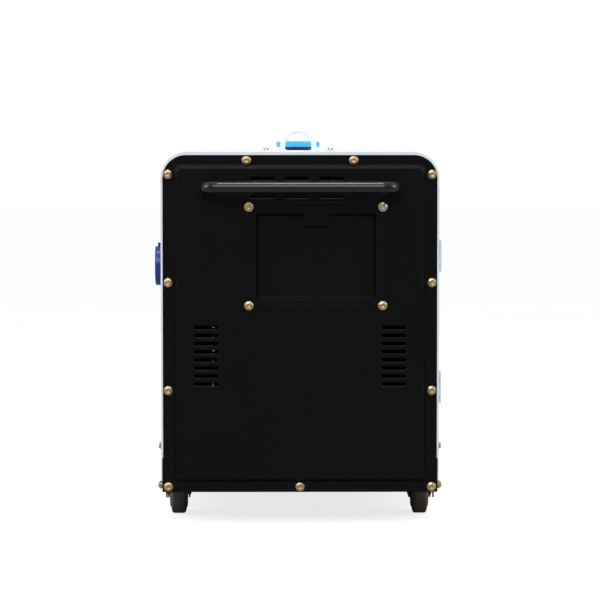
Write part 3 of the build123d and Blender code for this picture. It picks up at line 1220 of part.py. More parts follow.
def muffler():
    """Muffler across the set, header pipe, bracket, and the outlet through the right side."""
    can = bar_x(MUFFLER_R, -MUFFLER_HALF_L, MUFFLER_HALF_L, OUTLET_Y, OUTLET_Z)
    can = fillet(can.edges().filter_by(GeomType.CIRCLE), 10)
    head_x = FIN_SIZE / 2 + 8
    z = CYL_TOP + HEAD_H / 2
    bend_x = head_x + 34
    route = FilletPolyline((head_x, CYL_Y, z), (bend_x, CYL_Y, z), (bend_x, OUTLET_Y - 20, z), radius=24)
    header = sweep(Plane(origin=route @ 0, z_dir=route % 0) * Circle(HEADER_R), path=route)
    foot_z = SHAFT_Z + SCROLL_R + 6
    bracket = slab(-28, 28, SCROLL_Y1 - 30, SCROLL_Y1, foot_z, foot_z + 4)
    bracket += slab(-28, 28, SCROLL_Y1 - 5, SCROLL_Y1, foot_z, OUTLET_Z - 15)
    outlet = bar_x(OUTLET_R - OUTLET_STEP, MUFFLER_HALF_L - 5, HALF_W, OUTLET_Y, OUTLET_Z)
    outlet += bar_x(OUTLET_R, HALF_W, HALF_W + OUTLET_OUT, OUTLET_Y, OUTLET_Z)
    bore = bar_x(OUTLET_R - OUTLET_WALL, MUFFLER_HALF_L + 10, HALF_W + OUTLET_OUT + 1, OUTLET_Y, OUTLET_Z)
    return can + header + bracket + outlet - bore


BATTERY_Y1 = -HALF_L + 144.0
BATTERY_SIZE = (190.0, 118.0, 158.0)


def battery():
    """Starting battery on the tray floor behind the rear panel."""
    w, d, h = BATTERY_SIZE
    case = slab(-w / 2, w / 2, BATTERY_Y1 - d, BATTERY_Y1, FLOOR_Z, FLOOR_Z + h)
    case = fillet(case.edges().filter_by(Axis.Z), 6)
    lid = slab(-w / 2 - 2, w / 2 + 2, BATTERY_Y1 - d - 2, BATTERY_Y1 + 2, FLOOR_Z + h - 24, FLOOR_Z + h - 14)
    post_a = bar_z(8, FLOOR_Z + h - 1, FLOOR_Z + h + 18, -w / 2 + 26, BATTERY_Y1 - 26)
    return case + lid + post_a + bar_z(8, FLOOR_Z + h - 1, FLOOR_Z + h + 18, w / 2 - 26, BATTERY_Y1 - 26)


# ---- files -----------------------------------------------------------------------------------------
def turned(shape):
    """The left side's piece on the right side, turned end for end."""
    return Rot(0, 0, 180) * shape


def group(shapes):
    """Several solids in one sub-part."""
    return Compound([solid for shape in shapes for solid in shape.solids()])


save("base_tray", base_tray())
save("canopy_frame", group([canopy_frame(), tank_cradle()]))
save("roof_panel", roof_panel())
save("left_side_panel", left_side_panel())
save("right_side_panel", right_side_panel())
save("rear_end_panel", rear_end_panel())
save("front_end_panel", front_end_panel())
save("rear_access_cover", access_cover())
save("rear_handle", handle())
save("front_handle", end_for_end(handle()))
save("lifting_ring", lifting_ring())
save("roof_foam", roof_foam())
save("gold_screws", group(gold_screws()))

hinges = hinge_fixed_leaves()
save("door_hinges", group(hinges + [turned(leaf) for leaf in hinges]))
save("left_door", door_leaf())
save("left_door_foam", door_foam())
save("left_door_latch", door_latch())
save("right_door", turned(door_leaf()))
save("right_door_foam", turned(door_foam()))
save("right_door_latch", turned(door_latch()))

save("control_panel", control_panel())
save("main_socket", group(main_socket()))
save("main_socket_lid", main_lid())
save("small_sockets", group([small_socket(y) for y in SMALL_Y]))
save("rear_small_socket_lid", small_lid(SMALL_Y[0]))
save("front_small_socket_lid", small_lid(SMALL_Y[1]))
save("meters", group(meters()))
save("breaker", breaker())
save("breaker_lever", breaker_lever())
save("switch_bezels", group(switch_bezels()))
save("ignition_key", ignition_key())
save("stop_button", stop_button())
save("indicator_lamps", group(indicator_lamps()))
save("terminals", group(terminals()))

save("caster_brackets", group(caster_brackets()))
for side, name in ((-1, "left"), (1, "right")):
    save(f"fixed_wheel_{name}", group(wheel_at(side * FIXED_X, CASTER_Y_REAR)))
    save(f"swivel_fork_{name}", swivel_fork(side * SWIVEL_X))
    save(f"swivel_wheel_{name}", group(wheel_at(side * SWIVEL_X, CASTER_Y_FRONT - SWIVEL_TRAIL)))
    save(f"brake_pedal_{name}", brake_pedal(side * SWIVEL_X))

save("engine_block", group(engine_block()))
save("cylinder", cylinder())
save("crankshaft", crankshaft())
save("flywheel_fan", flywheel_fan())
save("blower_housing", blower_housing())
save("alternator_housing", group(alternator_housing()))
save("alternator_rotor", alternator_rotor())
save("engine_bed", engine_bed())
save("rubber_mounts", group(rubber_mounts()))
save("starter_motor", starter_motor())
save("air_cleaner", air_cleaner())
save("dipstick", dipstick())
save("fuel_tank", fuel_tank())
save("fuel_cap", fuel_cap())
save("muffler", muffler())
save("battery", battery())
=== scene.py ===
import math

import bmesh
import bpy
import numpy as np
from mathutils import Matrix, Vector


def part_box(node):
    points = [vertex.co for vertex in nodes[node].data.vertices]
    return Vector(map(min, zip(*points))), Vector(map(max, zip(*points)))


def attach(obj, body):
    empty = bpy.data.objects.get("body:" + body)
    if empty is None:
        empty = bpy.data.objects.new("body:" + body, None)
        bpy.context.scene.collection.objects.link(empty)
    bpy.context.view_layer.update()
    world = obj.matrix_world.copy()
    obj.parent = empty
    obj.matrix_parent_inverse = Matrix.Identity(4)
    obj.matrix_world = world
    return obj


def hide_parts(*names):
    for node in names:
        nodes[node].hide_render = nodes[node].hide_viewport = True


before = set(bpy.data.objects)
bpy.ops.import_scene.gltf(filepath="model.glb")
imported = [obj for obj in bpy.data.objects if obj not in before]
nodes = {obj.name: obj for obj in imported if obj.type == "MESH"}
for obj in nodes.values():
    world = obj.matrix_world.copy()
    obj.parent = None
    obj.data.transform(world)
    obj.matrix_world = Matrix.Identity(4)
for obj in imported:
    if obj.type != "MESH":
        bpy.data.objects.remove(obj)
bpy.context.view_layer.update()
TAU = 2 * math.pi


# ---- node trees ------------------------------------------------------------------------------------
def node(tree, kind, inputs=None, **settings):
    """A shader node with its settings and its plain input values."""
    made = tree.nodes.new("ShaderNode" + kind)
    for name, value in settings.items():
        setattr(made, name, value)
    for name, value in (inputs or {}).items():
        made.inputs[name].default_value = value
    return made


def wire(tree, *pairs):
    """Link (node, output) to (node, input) pairs, given flat."""
    for source, output, target, socket in pairs:
        tree.links.new(source.outputs[output], target.inputs[socket])


def group(name, inputs, outputs):
    """Empty shader group with named sockets; returns tree, its input and its output node."""
    tree = bpy.data.node_groups.new(name, "ShaderNodeTree")
    for label, kind, default in inputs:
        made = tree.interface.new_socket(label, in_out="INPUT", socket_type="NodeSocket" + kind)
        if default is not None:
            made.default_value = default
    for label, kind in outputs:
        tree.interface.new_socket(label, in_out="OUTPUT", socket_type="NodeSocket" + kind)
    return tree, tree.nodes.new("NodeGroupInput"), tree.nodes.new("NodeGroupOutput")


def use(tree, shared, **values):
    """Place a shared group with its own values; underscores stand for spaces."""
    made = tree.nodes.new("ShaderNodeGroup")
    made.node_tree = shared
    for name, value in values.items():
        made.inputs[name.replace("_", " ")].default_value = value
    return made


def maths(tree, operation, a=None, b=None, clamp=False):
    """Math node; a and b are numbers or (node, output) pairs."""
    made = node(tree, "Math", operation=operation, use_clamp=clamp)
    for index, value in enumerate((a, b)):
        if isinstance(value, tuple):
            tree.links.new(value[0].outputs[value[1]], made.inputs[index])
        elif value is not None:
            made.inputs[index].default_value = value
    return made


def make_edge_group():
    """Edge: 0 on flats to 1 on sharp outer edges, broken up by noise. Normal: the rounded normal."""
    tree, gin, gout = group(
        "edge_wear",
        [("Radius", "Float", 0.001), ("Breakup", "Float", 220.0), ("Amount", "Float", 1.0)],
        [("Edge", "Float"), ("Normal", "Vector")],
    )
    bevel = node(tree, "Bevel", samples=4)
    geo = node(tree, "NewGeometry")
    dot = node(tree, "VectorMath", operation="DOT_PRODUCT")
    coord = node(tree, "TexCoord")
    noise = node(tree, "TexNoise", {"Detail": 4.0, "Roughness": 0.6})
    wire(tree, (gin, "Radius", bevel, "Radius"), (bevel, "Normal", dot, 0), (geo, "Normal", dot, 1))
    wire(tree, (coord, "Object", noise, "Vector"), (gin, "Breakup", noise, "Scale"))
    sharp = maths(tree, "SUBTRACT", 1.0, (dot, "Value"))
    lifted = maths(tree, "MULTIPLY", (sharp, 0), 9.0, clamp=True)
    broken = node(tree, "MapRange", {"From Min": 0.42, "From Max": 0.66})
    wire(tree, (noise, "Fac", broken, "Value"))
    worn = maths(tree, "MULTIPLY", (lifted, 0), (broken, "Result"))
    scaled = node(tree, "Math", operation="MULTIPLY", use_clamp=True)
    wire(tree, (worn, 0, scaled, 0), (gin, "Amount", scaled, 1))
    wire(tree, (scaled, 0, gout, "Edge"), (bevel, "Normal", gout, "Normal"))
    return tree


def make_mottle_group():
    """Broad: slow cloudy variation. Fine: small grain. Both run from 0 to 1."""
    tree, gin, gout = group(
        "mottle",
        [("Broad Scale", "Float", 6.0), ("Fine Scale", "Float", 400.0)],
        [("Broad", "Float"), ("Fine", "Float")],
    )
    coord = node(tree, "TexCoord")
    broad = node(tree, "TexNoise", {"Detail": 5.0, "Roughness": 0.55})
    fine = node(tree, "TexNoise", {"Detail": 3.0, "Roughness": 0.65})
    for made, label in ((broad, "Broad"), (fine, "Fine")):
        wire(tree, (coord, "Object", made, "Vector"), (gin, label + " Scale", made, "Scale"))
        spread = node(tree, "MapRange", {"From Min": 0.3, "From Max": 0.7})
        wire(tree, (made, "Fac", spread, "Value"), (spread, "Result", gout, label))
    return tree


def make_peel_group():
    """Orange peel and powder grain of a baked coat, as a height in millimetres."""
    tree, gin, gout = group(
        "powder_peel",
        [("Peel Scale", "Float", 520.0), ("Grain Scale", "Float", 2600.0), ("Grain", "Float", 0.35)],
        [("Height", "Float"), ("Speck", "Float")],
    )
    coord = node(tree, "TexCoord")
    peel = node(tree, "TexNoise", {"Detail": 2.0, "Roughness": 0.5})
    grain = node(tree, "TexVoronoi", feature="SMOOTH_F1")
    grain.inputs["Smoothness"].default_value = 0.6
    wire(tree, (coord, "Object", peel, "Vector"), (gin, "Peel Scale", peel, "Scale"))
    wire(tree, (coord, "Object", grain, "Vector"), (gin, "Grain Scale", grain, "Scale"))
    part = node(tree, "Math", operation="MULTIPLY")
    wire(tree, (grain, "Distance", part, 0), (gin, "Grain", part, 1))
    total = maths(tree, "ADD", (peel, "Fac"), (part, 0))
    speck = node(tree, "MapRange", {"From Min": 0.55, "From Max": 0.8})
    wire(tree, (grain, "Distance", speck, "Value"))
    wire(tree, (total, 0, gout, "Height"), (speck, "Result", gout, "Speck"))
    return tree


def make_dust_group():
    """Mask of settled dust: faces that look up, patchy, and the lowest part of the set."""
    tree, gin, gout = group(
        "settled_dust",
        [("Amount", "Float", 0.25), ("Foot Height", "Float", 0.14)],
        [("Dust", "Float")],
    )
    geo = node(tree, "NewGeometry")
    coord = node(tree, "TexCoord")
    face = node(tree, "SeparateXYZ")
    place = node(tree, "SeparateXYZ")
    noise = node(tree, "TexNoise", {"Scale": 34.0, "Detail": 8.0, "Roughness": 0.62})
    wire(tree, (geo, "Normal", face, "Vector"), (coord, "Object", place, "Vector"))
    wire(tree, (coord, "Object", noise, "Vector"))
    up = node(tree, "MapRange", {"From Min": 0.35, "From Max": 1.0})
    foot = node(tree, "MapRange", {"From Min": 0.0, "To Min": 0.55, "To Max": 0.0})
    wire(tree, (face, "Z", up, "Value"), (place, "Z", foot, "Value"),
         (gin, "Foot Height", foot, "From Max"))
    most = maths(tree, "MAXIMUM", (up, "Result"), (foot, "Result"))
    patch = node(tree, "MapRange", {"From Min": 0.38, "From Max": 0.72})
    wire(tree, (noise, "Fac", patch, "Value"))
    patchy = maths(tree, "MULTIPLY", (most, 0), (patch, "Result"))
    scaled = node(tree, "Math", operation="MULTIPLY", use_clamp=True)
    wire(tree, (patchy, 0, scaled, 0), (gin, "Amount", scaled, 1), (scaled, 0, gout, "Dust"))
    return tree


def make_pore_group():
    """Open cells of foam: Height for the bump, and a painted shadow mask that darkens the pores."""
    tree, gin, gout = group("open_cells", [("Scale", "Float", 700.0)],
                            [("Height", "Float"), ("Pore Shadow", "Float")])
    coord = node(tree, "TexCoord")
    cells = node(tree, "TexVoronoi", feature="F1")
    fine = node(tree, "TexNoise", {"Scale": 1800.0, "Detail": 2.0})
    wire(tree, (coord, "Object", cells, "Vector"), (gin, "Scale", cells, "Scale"),
         (coord, "Object", fine, "Vector"))
    # painted shadow mask: 0 at the middle of each cell, where the pore is painted darkest
    pore_shadow_mask = node(tree, "MapRange", {"From Min": 0.05, "From Max": 0.6})
    wire(tree, (cells, "Distance", pore_shadow_mask, "Value"), (pore_shadow_mask, "Result", gout, "Pore Shadow"))
    rough = maths(tree, "MULTIPLY", (fine, "Fac"), 0.4)
    total = maths(tree, "ADD", (cells, "Distance"), (rough, 0))
    wire(tree, (total, 0, gout, "Height"))
    return tree


EDGE = make_edge_group()
MOTTLE = make_mottle_group()
PEEL = make_peel_group()
DUST = make_dust_group()
PORES = make_pore_group()


# ---- finishes --------------------------------------------------------------------------------------
def principled(name, **constants):
    """New material with its Principled shader; constants go on the shader's own sockets."""
    made = bpy.data.materials.new(name)
    made.use_nodes = True
    shader = made.node_tree.nodes["Principled BSDF"]
    for label, value in constants.items():
        shader.inputs[label.replace("_", " ")].default_value = value
    return made, made.node_tree, shader


def blend_colour(tree, factor, a, b):
    """Mix node between colours a and b, each a tuple or a (node, output) pair."""
    made = node(tree, "Mix", data_type="RGBA")
    tree.links.new(factor[0].outputs[factor[1]], made.inputs[0])
    for index, value in ((6, a), (7, b)):
        if isinstance(value[0], bpy.types.Node):
            tree.links.new(value[0].outputs[value[1]], made.inputs[index])
        else:
            made.inputs[index].default_value = (*value, 1.0)
    return made


def set_range(tree, source, output, low, high, shader, socket):
    """Carry a 0 to 1 mask into a shader socket between two values."""
    made = node(tree, "MapRange", {"To Min": low, "To Max": high})
    wire(tree, (source, output, made, "Value"), (made, "Result", shader, socket))
    return made


def add_bump(tree, shader, source, output, strength, distance, under=None):
    """Bump from a height, over a rounded normal if one is given."""
    made = node(tree, "Bump", {"Strength": strength, "Distance": distance})
    wire(tree, (source, output, made, "Height"), (made, "Normal", shader, "Normal"))
    if under is not None:
        wire(tree, (under, "Normal", made, "Normal"))
    return made


def coated_sheet(name, colour, lighter, rough, peel=520.0, grain=0.35, bump=0.35, bare=(0.30, 0.30, 0.31),
                 dust=0.16, dust_colour=(0.30, 0.27, 0.23), edge=0.35, specular=0.5):
    """Baked powder coat on pressed sheet: slow tone shift, peel, rounded edges, faint wear and dust."""
    made, tree, shader = principled(name, Specular_IOR_Level=specular)
    mottle = use(tree, MOTTLE, Broad_Scale=4.0, Fine_Scale=900.0)
    peeled = use(tree, PEEL, Peel_Scale=peel, Grain=grain)
    worn = use(tree, EDGE, Radius=0.0012, Breakup=160.0, Amount=edge)
    dusty = use(tree, DUST, Amount=dust)
    tone = blend_colour(tree, (mottle, "Broad"), colour, lighter)
    rubbed = blend_colour(tree, (worn, "Edge"), (tone, 2), bare)
    final = blend_colour(tree, (dusty, "Dust"), (rubbed, 2), dust_colour)
    tree.links.new(final.outputs[2], shader.inputs["Base Color"])
    set_range(tree, mottle, "Fine", rough - 0.04, rough + 0.05, shader, "Roughness")
    add_bump(tree, shader, peeled, "Height", bump, 0.00012, worn)
    return made


def plated_metal(name, colours, rough, scale, bump=0.12, metallic=1.0, dirt=(0.09, 0.07, 0.05)):
    """Plated or cast metal whose film drifts through several tints, with darker handling marks scattered by
    noise.
    """
    made, tree, shader = principled(name)
    mottle = use(tree, MOTTLE, Broad_Scale=scale, Fine_Scale=1500.0)
    worn = use(tree, EDGE, Radius=0.0005, Breakup=500.0, Amount=0.5)
    ramp = node(tree, "ValToRGB")
    ramp.color_ramp.elements[0].color = (*colours[0], 1)
    ramp.color_ramp.elements[1].color = (*colours[-1], 1)
    for k, colour in enumerate(colours[1:-1], 1):
        ramp.color_ramp.elements.new(k / (len(colours) - 1)).color = (*colour, 1)
    wire(tree, (mottle, "Broad", ramp, "Fac"))
    marks = node(tree, "MapRange", {"From Min": 0.72, "From Max": 1.0, "To Max": 0.4})
    wire(tree, (mottle, "Fine", marks, "Value"))
    marked = blend_colour(tree, (marks, "Result"), (ramp, "Color"), dirt)
    bright = tuple(min(1.0, c * 1.25) for c in colours[0])
    final = blend_colour(tree, (worn, "Edge"), (marked, 2), bright)
    tree.links.new(final.outputs[2], shader.inputs["Base Color"])
    shader.inputs["Metallic"].default_value = metallic
    set_range(tree, mottle, "Fine", rough - 0.06, rough + 0.1, shader, "Roughness")
    add_bump(tree, shader, mottle, "Fine", bump, 0.00006, worn)
    return made


def moulded_plastic(name, colour, deeper, rough, grain=0.2, scale=1400.0, scuff=(0.5, 0.5, 0.5), edge=0.12):
    """Injection-moulded plastic: mould grain, slight colour drift, scuffed edges."""
    made, tree, shader = principled(name)
    mottle = use(tree, MOTTLE, Broad_Scale=22.0, Fine_Scale=scale)
    worn = use(tree, EDGE, Radius=0.0007, Breakup=420.0, Amount=edge)
    tone = blend_colour(tree, (mottle, "Broad"), colour, deeper)
    final = blend_colour(tree, (worn, "Edge"), (tone, 2), scuff)
    tree.links.new(final.outputs[2], shader.inputs["Base Color"])
    set_range(tree, mottle, "Fine", rough - 0.05, rough + 0.07, shader, "Roughness")
    add_bump(tree, shader, mottle, "Fine", grain, 0.00008, worn)
    return made


def rubber(name, colour, lighter, rough=0.78, dust=0.35):
    """Solid rubber with fine flow marks and dust in the tread."""
    made, tree, shader = principled(name, Specular_IOR_Level=0.35)
    mottle = use(tree, MOTTLE, Broad_Scale=40.0, Fine_Scale=1100.0)
    dusty = use(tree, DUST, Amount=dust, Foot_Height=0.11)
    tone = blend_colour(tree, (mottle, "Broad"), colour, lighter)
    final = blend_colour(tree, (dusty, "Dust"), (tone, 2), (0.16, 0.13, 0.10))
    tree.links.new(final.outputs[2], shader.inputs["Base Color"])
    set_range(tree, mottle, "Fine", rough - 0.1, rough + 0.1, shader, "Roughness")
    add_bump(tree, shader, mottle, "Fine", 0.3, 0.00012)
    return made


def acoustic_foam(name):
    """Open-cell foam, charcoal, with pores darkened by painted shadow and slight fading."""
    made, tree, shader = principled(name, Specular_IOR_Level=0.15)
    cells = use(tree, PORES, Scale=620.0)
    mottle = use(tree, MOTTLE, Broad_Scale=12.0, Fine_Scale=600.0)
    tone = blend_colour(tree, (mottle, "Broad"), (0.030, 0.030, 0.032), (0.060, 0.060, 0.062))
    # near-black painted shadow in the pores, laid over the foam's own tone
    final = blend_colour(tree, (cells, "Pore Shadow"), (0.008, 0.008, 0.009), (tone, 2))
    tree.links.new(final.outputs[2], shader.inputs["Base Color"])
    set_range(tree, mottle, "Fine", 0.86, 0.98, shader, "Roughness")
    add_bump(tree, shader, cells, "Height", 0.8, 0.0006)
    return made


def machined_steel(name, colour, rough):
    """Turned steel: stretched grain that reads as tool marks along the shaft."""
    made, tree, shader = principled(name, Metallic=1.0)
    coord = node(tree, "TexCoord")
    stretch = node(tree, "Mapping", {"Scale": (60.0, 2400.0, 60.0)})
    noise = node(tree, "TexNoise", {"Scale": 1.0, "Detail": 4.0, "Roughness": 0.7})
    wire(tree, (coord, "Object", stretch, "Vector"), (stretch, "Vector", noise, "Vector"))
    worn = use(tree, EDGE, Radius=0.0006, Breakup=300.0, Amount=0.6)
    darker = tuple(c * 0.62 for c in colour)
    tone = blend_colour(tree, (noise, "Fac"), darker, colour)
    final = blend_colour(tree, (worn, "Edge"), (tone, 2), (0.75, 0.75, 0.76))
    tree.links.new(final.outputs[2], shader.inputs["Base Color"])
    set_range(tree, noise, "Fac", rough - 0.1, rough + 0.14, shader, "Roughness")
    add_bump(tree, shader, noise, "Fac", 0.18, 0.00008, worn)
    return made


def clear_lens(name, tint, rough=0.06):
    """Clear or tinted moulded lens with a faint ripple."""
    made, tree, shader = principled(name, Transmission_Weight=0.85, IOR=1.49)
    mottle = use(tree, MOTTLE, Broad_Scale=60.0, Fine_Scale=900.0)
    deeper = tuple(c * 0.9 for c in tint)
    tone = blend_colour(tree, (mottle, "Broad"), tint, deeper)
    tree.links.new(tone.outputs[2], shader.inputs["Base Color"])
    set_range(tree, mottle, "Fine", rough, rough + 0.05, shader, "Roughness")
    add_bump(tree, shader, mottle, "Broad", 0.05, 0.0001)
    return made


BLACK_COAT = coated_sheet("black_powder_coat", (0.0022, 0.0022, 0.0025), (0.0032, 0.0032, 0.0037), 0.34,
                          dust=0.03, dust_colour=(0.03, 0.028, 0.026), edge=0.06,
                          bare=(0.04, 0.04, 0.045), specular=0.12)
TRAY_COAT = coated_sheet("tray_powder_coat", (0.0045, 0.0045, 0.0048), (0.0065, 0.0065, 0.007), 0.44,
                         dust=0.12, dust_colour=(0.06, 0.05, 0.045), edge=0.2, bare=(0.10, 0.10, 0.10),
                         specular=0.25)
TUBE_COAT = coated_sheet("tube_powder_coat", (0.0045, 0.0047, 0.0055), (0.006, 0.0062, 0.007), 0.2,
                         peel=700.0,
                         bump=0.15, dust=0.02, edge=0.04, bare=(0.1, 0.1, 0.11), specular=0.45)
WHITE_COAT = coated_sheet("white_powder_coat", (0.79, 0.83, 0.88), (0.73, 0.78, 0.84), 0.34, bump=0.3,
                          dust=0.05, dust_colour=(0.48, 0.45, 0.40), edge=0.12, bare=(0.52, 0.52, 0.50))
FASCIA_COAT = coated_sheet("fascia_fine_texture", (0.020, 0.021, 0.023), (0.028, 0.029, 0.031), 0.62,
                           peel=1500.0,
                           grain=0.9, bump=0.8, dust=0.06, edge=0.15)
MACHINE_GREY = coated_sheet("machine_grey_paint", (0.070, 0.075, 0.080), (0.095, 0.100, 0.105), 0.42,
                            peel=240.0,
                            dust=0.3, edge=0.5)
CASTING_PAINT = coated_sheet("painted_casting", (0.022, 0.023, 0.025), (0.040, 0.041, 0.043), 0.55,
                             peel=420.0,
                             grain=0.9, bump=1.0, dust=0.35, edge=0.5)
HOT_PAINT = coated_sheet("heat_resistant_paint", (0.19, 0.185, 0.175), (0.12, 0.10, 0.085), 0.52,
                         peel=600.0,
                         dust=0.2, edge=0.35)
YELLOW_ZINC = plated_metal("yellow_zinc", [(0.66, 0.54, 0.30), (0.56, 0.44, 0.20), (0.66, 0.42, 0.32),
                                           (0.50, 0.50, 0.26)], 0.30, 160.0)
CLEAR_ZINC = plated_metal("clear_zinc", [(0.55, 0.56, 0.58), (0.46, 0.47, 0.50), (0.58, 0.57, 0.55)],
                          0.36, 45.0)
RAW_ALUMINIUM = plated_metal("cast_aluminium", [(0.50, 0.51, 0.52), (0.42, 0.43, 0.44)], 0.5, 30.0,
                             bump=0.6,
                             dirt=(0.10, 0.09, 0.08))
BRASS = plated_metal("turned_brass", [(0.68, 0.50, 0.22), (0.56, 0.40, 0.17)], 0.3, 90.0)
STEEL = machined_steel("machined_steel", (0.52, 0.52, 0.53), 0.32)
TYRE = rubber("tyre_rubber", (0.078, 0.064, 0.054), (0.100, 0.084, 0.072))
MOUNT_RUBBER = rubber("mount_rubber", (0.012, 0.012, 0.012), (0.020, 0.020, 0.020), 0.7, 0.15)
FOAM = acoustic_foam("acoustic_foam")
BLUE = moulded_plastic("socket_blue", (0.018, 0.062, 0.40), (0.012, 0.045, 0.30), 0.28,
                       scuff=(0.25, 0.34, 0.66))
SKY = moulded_plastic("cap_sky_blue", (0.075, 0.55, 0.95), (0.055, 0.46, 0.86), 0.32,
                      scuff=(0.55, 0.78, 0.95))
BLACK_PLASTIC = moulded_plastic("black_moulding", (0.014, 0.014, 0.015), (0.022, 0.022, 0.023), 0.46,
                                grain=0.5)
GREY_PLASTIC = moulded_plastic("grey_moulding", (0.20, 0.21, 0.22), (0.16, 0.17, 0.18), 0.44, grain=0.4)
HUB_PLASTIC = moulded_plastic("hub_moulding", (0.030, 0.030, 0.032), (0.045, 0.045, 0.047), 0.5, grain=0.5)
RED_PLASTIC = moulded_plastic("stop_red", (0.50, 0.016, 0.010), (0.38, 0.012, 0.008), 0.3)
DIAL_WHITE = moulded_plastic("dial_white", (0.82, 0.82, 0.79), (0.76, 0.76, 0.73), 0.6, grain=0.1, edge=0.0)
DIAL_INK = moulded_plastic("dial_black", (0.01, 0.01, 0.01), (0.02, 0.02, 0.02), 0.6, grain=0.1, edge=0.0)
NEEDLE_RED = moulded_plastic("needle_red", (0.60, 0.03, 0.02), (0.50, 0.02, 0.015), 0.45, grain=0.1,
                             edge=0.0)
METER_GLASS = clear_lens("meter_glass", (0.97, 0.98, 0.98))
LAMP_RED = clear_lens("lamp_red", (0.85, 0.06, 0.03), 0.12)
LAMP_AMBER = clear_lens("lamp_amber", (0.95, 0.42, 0.04), 0.12)
LAMP_GREEN = clear_lens("lamp_green", (0.06, 0.62, 0.12), 0.12)

FINISH = {
    BLACK_COAT: ["rear_end_panel", "front_end_panel", "rear_access_cover"],
    TRAY_COAT: ["base_tray", "canopy_frame", "engine_bed", "caster_brackets", "swivel_fork_left",
                "swivel_fork_right"],
    TUBE_COAT: ["rear_handle", "front_handle"],
    WHITE_COAT: ["roof_panel", "left_side_panel", "right_side_panel", "left_door", "right_door",
                 "door_hinges",
                 "lifting_ring"],
    FASCIA_COAT: ["control_panel"],
    MACHINE_GREY: ["blower_housing", "starter_motor"],
    CASTING_PAINT: ["engine_block", "alternator_housing"],
    HOT_PAINT: ["muffler"],
    YELLOW_ZINC: ["gold_screws"],
    CLEAR_ZINC: ["switch_bezels", "brake_pedal_left", "brake_pedal_right"],
    RAW_ALUMINIUM: ["cylinder", "flywheel_fan"],
    BRASS: ["terminals"],
    STEEL: ["crankshaft", "alternator_rotor", "ignition_key", "dipstick"],
    TYRE: ["fixed_wheel_left", "fixed_wheel_right", "swivel_wheel_left", "swivel_wheel_right"],
    MOUNT_RUBBER: ["rubber_mounts"],
    FOAM: ["roof_foam", "left_door_foam", "right_door_foam"],
    BLUE: ["main_socket", "main_socket_lid"],
    SKY: ["fuel_cap"],
    BLACK_PLASTIC: ["left_door_latch", "right_door_latch", "meters", "breaker", "air_cleaner",
                    "fuel_tank", "battery"],
    GREY_PLASTIC: ["small_sockets", "rear_small_socket_lid", "front_small_socket_lid", "breaker_lever"],
    RED_PLASTIC: ["stop_button"],
    LAMP_AMBER: ["indicator_lamps"],
}
for finish, names in FINISH.items():
    for name in names:
        mesh = nodes[name].data
        mesh.materials.clear()
        mesh.materials.append(finish)


# ---- surfaces --------------------------------------------------------------------------------------
def grid_faces(rows, columns, wrap_rows=False, wrap_columns=False):
    """Quads of a rows by columns grid of points, wrapped where asked."""
    r = np.arange(rows if wrap_rows else rows - 1)
    c = np.arange(columns if wrap_columns else columns - 1)
    a = r[:, None] * columns + c[None, :]
    b = r[:, None] * columns + (c[None, :] + 1) % columns
    d = ((r[:, None] + 1) % rows) * columns + c[None, :]
    e = ((r[:, None] + 1) % rows) * columns + (c[None, :] + 1) % columns
    return np.stack([a, b, e, d], axis=-1).reshape(-1, 4)


def lathe(profile, centre, axis, steps=64, swell=None):
    """Surface of revolution: point(s, t) = centre + z(s) along axis + r(s) at angle t, r times swell(s, t).

    profile rows are (r, z), run so that the outside is on their left hand; it may close at r = 0.
    """
    profile = np.asarray(profile, float)
    angle = np.linspace(0, TAU, steps, endpoint=False)
    radius = profile[:, 0][:, None] * np.ones(steps)[None, :]
    if swell is not None:
        radius = radius * swell(profile[:, 0][:, None], angle[None, :], profile[:, 1][:, None])
    axis = np.asarray(axis, float)
    side = np.cross(axis, (0.0, 0.0, 1.0) if abs(axis[2]) < 0.9 else (1.0, 0.0, 0.0))
    side = side / np.linalg.norm(side)
    third = np.cross(axis, side)
    turn = np.cos(angle)[None, :, None] * side + np.sin(angle)[None, :, None] * third
    points = np.asarray(centre) + profile[:, 1][:, None, None] * axis + radius[:, :, None] * turn
    return points.reshape(-1, 3), grid_faces(len(profile), steps, False, True)


def rounded(corners, radius, steps=4):
    """Polyline with its inner corners turned into arcs of about the given radius (quadratic in t)."""
    corners = [np.asarray(c, float) for c in corners]
    out = [corners[0]]
    t = np.linspace(0, 1, steps + 1)[:, None]
    for before, here, after in zip(corners, corners[1:], corners[2:]):
        reach = min(radius, np.linalg.norm(here - before) * 0.49, np.linalg.norm(after - here) * 0.49)
        a = here + (before - here) / np.linalg.norm(before - here) * reach
        b = here + (after - here) / np.linalg.norm(after - here) * reach
        out.extend(a * (1 - t) ** 2 + 2 * here * t * (1 - t) + b * t**2)
    out.append(corners[-1])
    return np.array(out)


def tube(path, radius, sides=20, closed=False):
    """Round tube: point(s, t) = path(s) + radius * (cos t * normal + sin t * binormal), ends closed."""
    path = np.asarray(path, float)
    if closed:
        tangent = np.roll(path, -1, 0) - np.roll(path, 1, 0)
    else:
        tangent = np.gradient(path, axis=0)
    tangent /= np.linalg.norm(tangent, axis=1)[:, None]
    reference = (np.array([0.0, 0.0, 1.0]) if abs(tangent[:, 2]).max() < 0.95
                 else np.array([0.31, 0.95, 0.05]))
    normal = np.cross(tangent, reference)
    normal /= np.linalg.norm(normal, axis=1)[:, None]
    binormal = np.cross(tangent, normal)
    angle = np.linspace(0, TAU, sides, endpoint=False)
    ring = (np.cos(angle)[None, :, None] * normal[:, None, :]
            + np.sin(angle)[None, :, None] * binormal[:, None, :])
    points = path[:, None, :] + radius * ring
    if not closed:
        points = np.concatenate([path[:1, None, :].repeat(sides, 1), points,
                                 path[-1:, None, :].repeat(sides, 1)])
    return points.reshape(-1, 3), grid_faces(len(points), sides, closed, True)


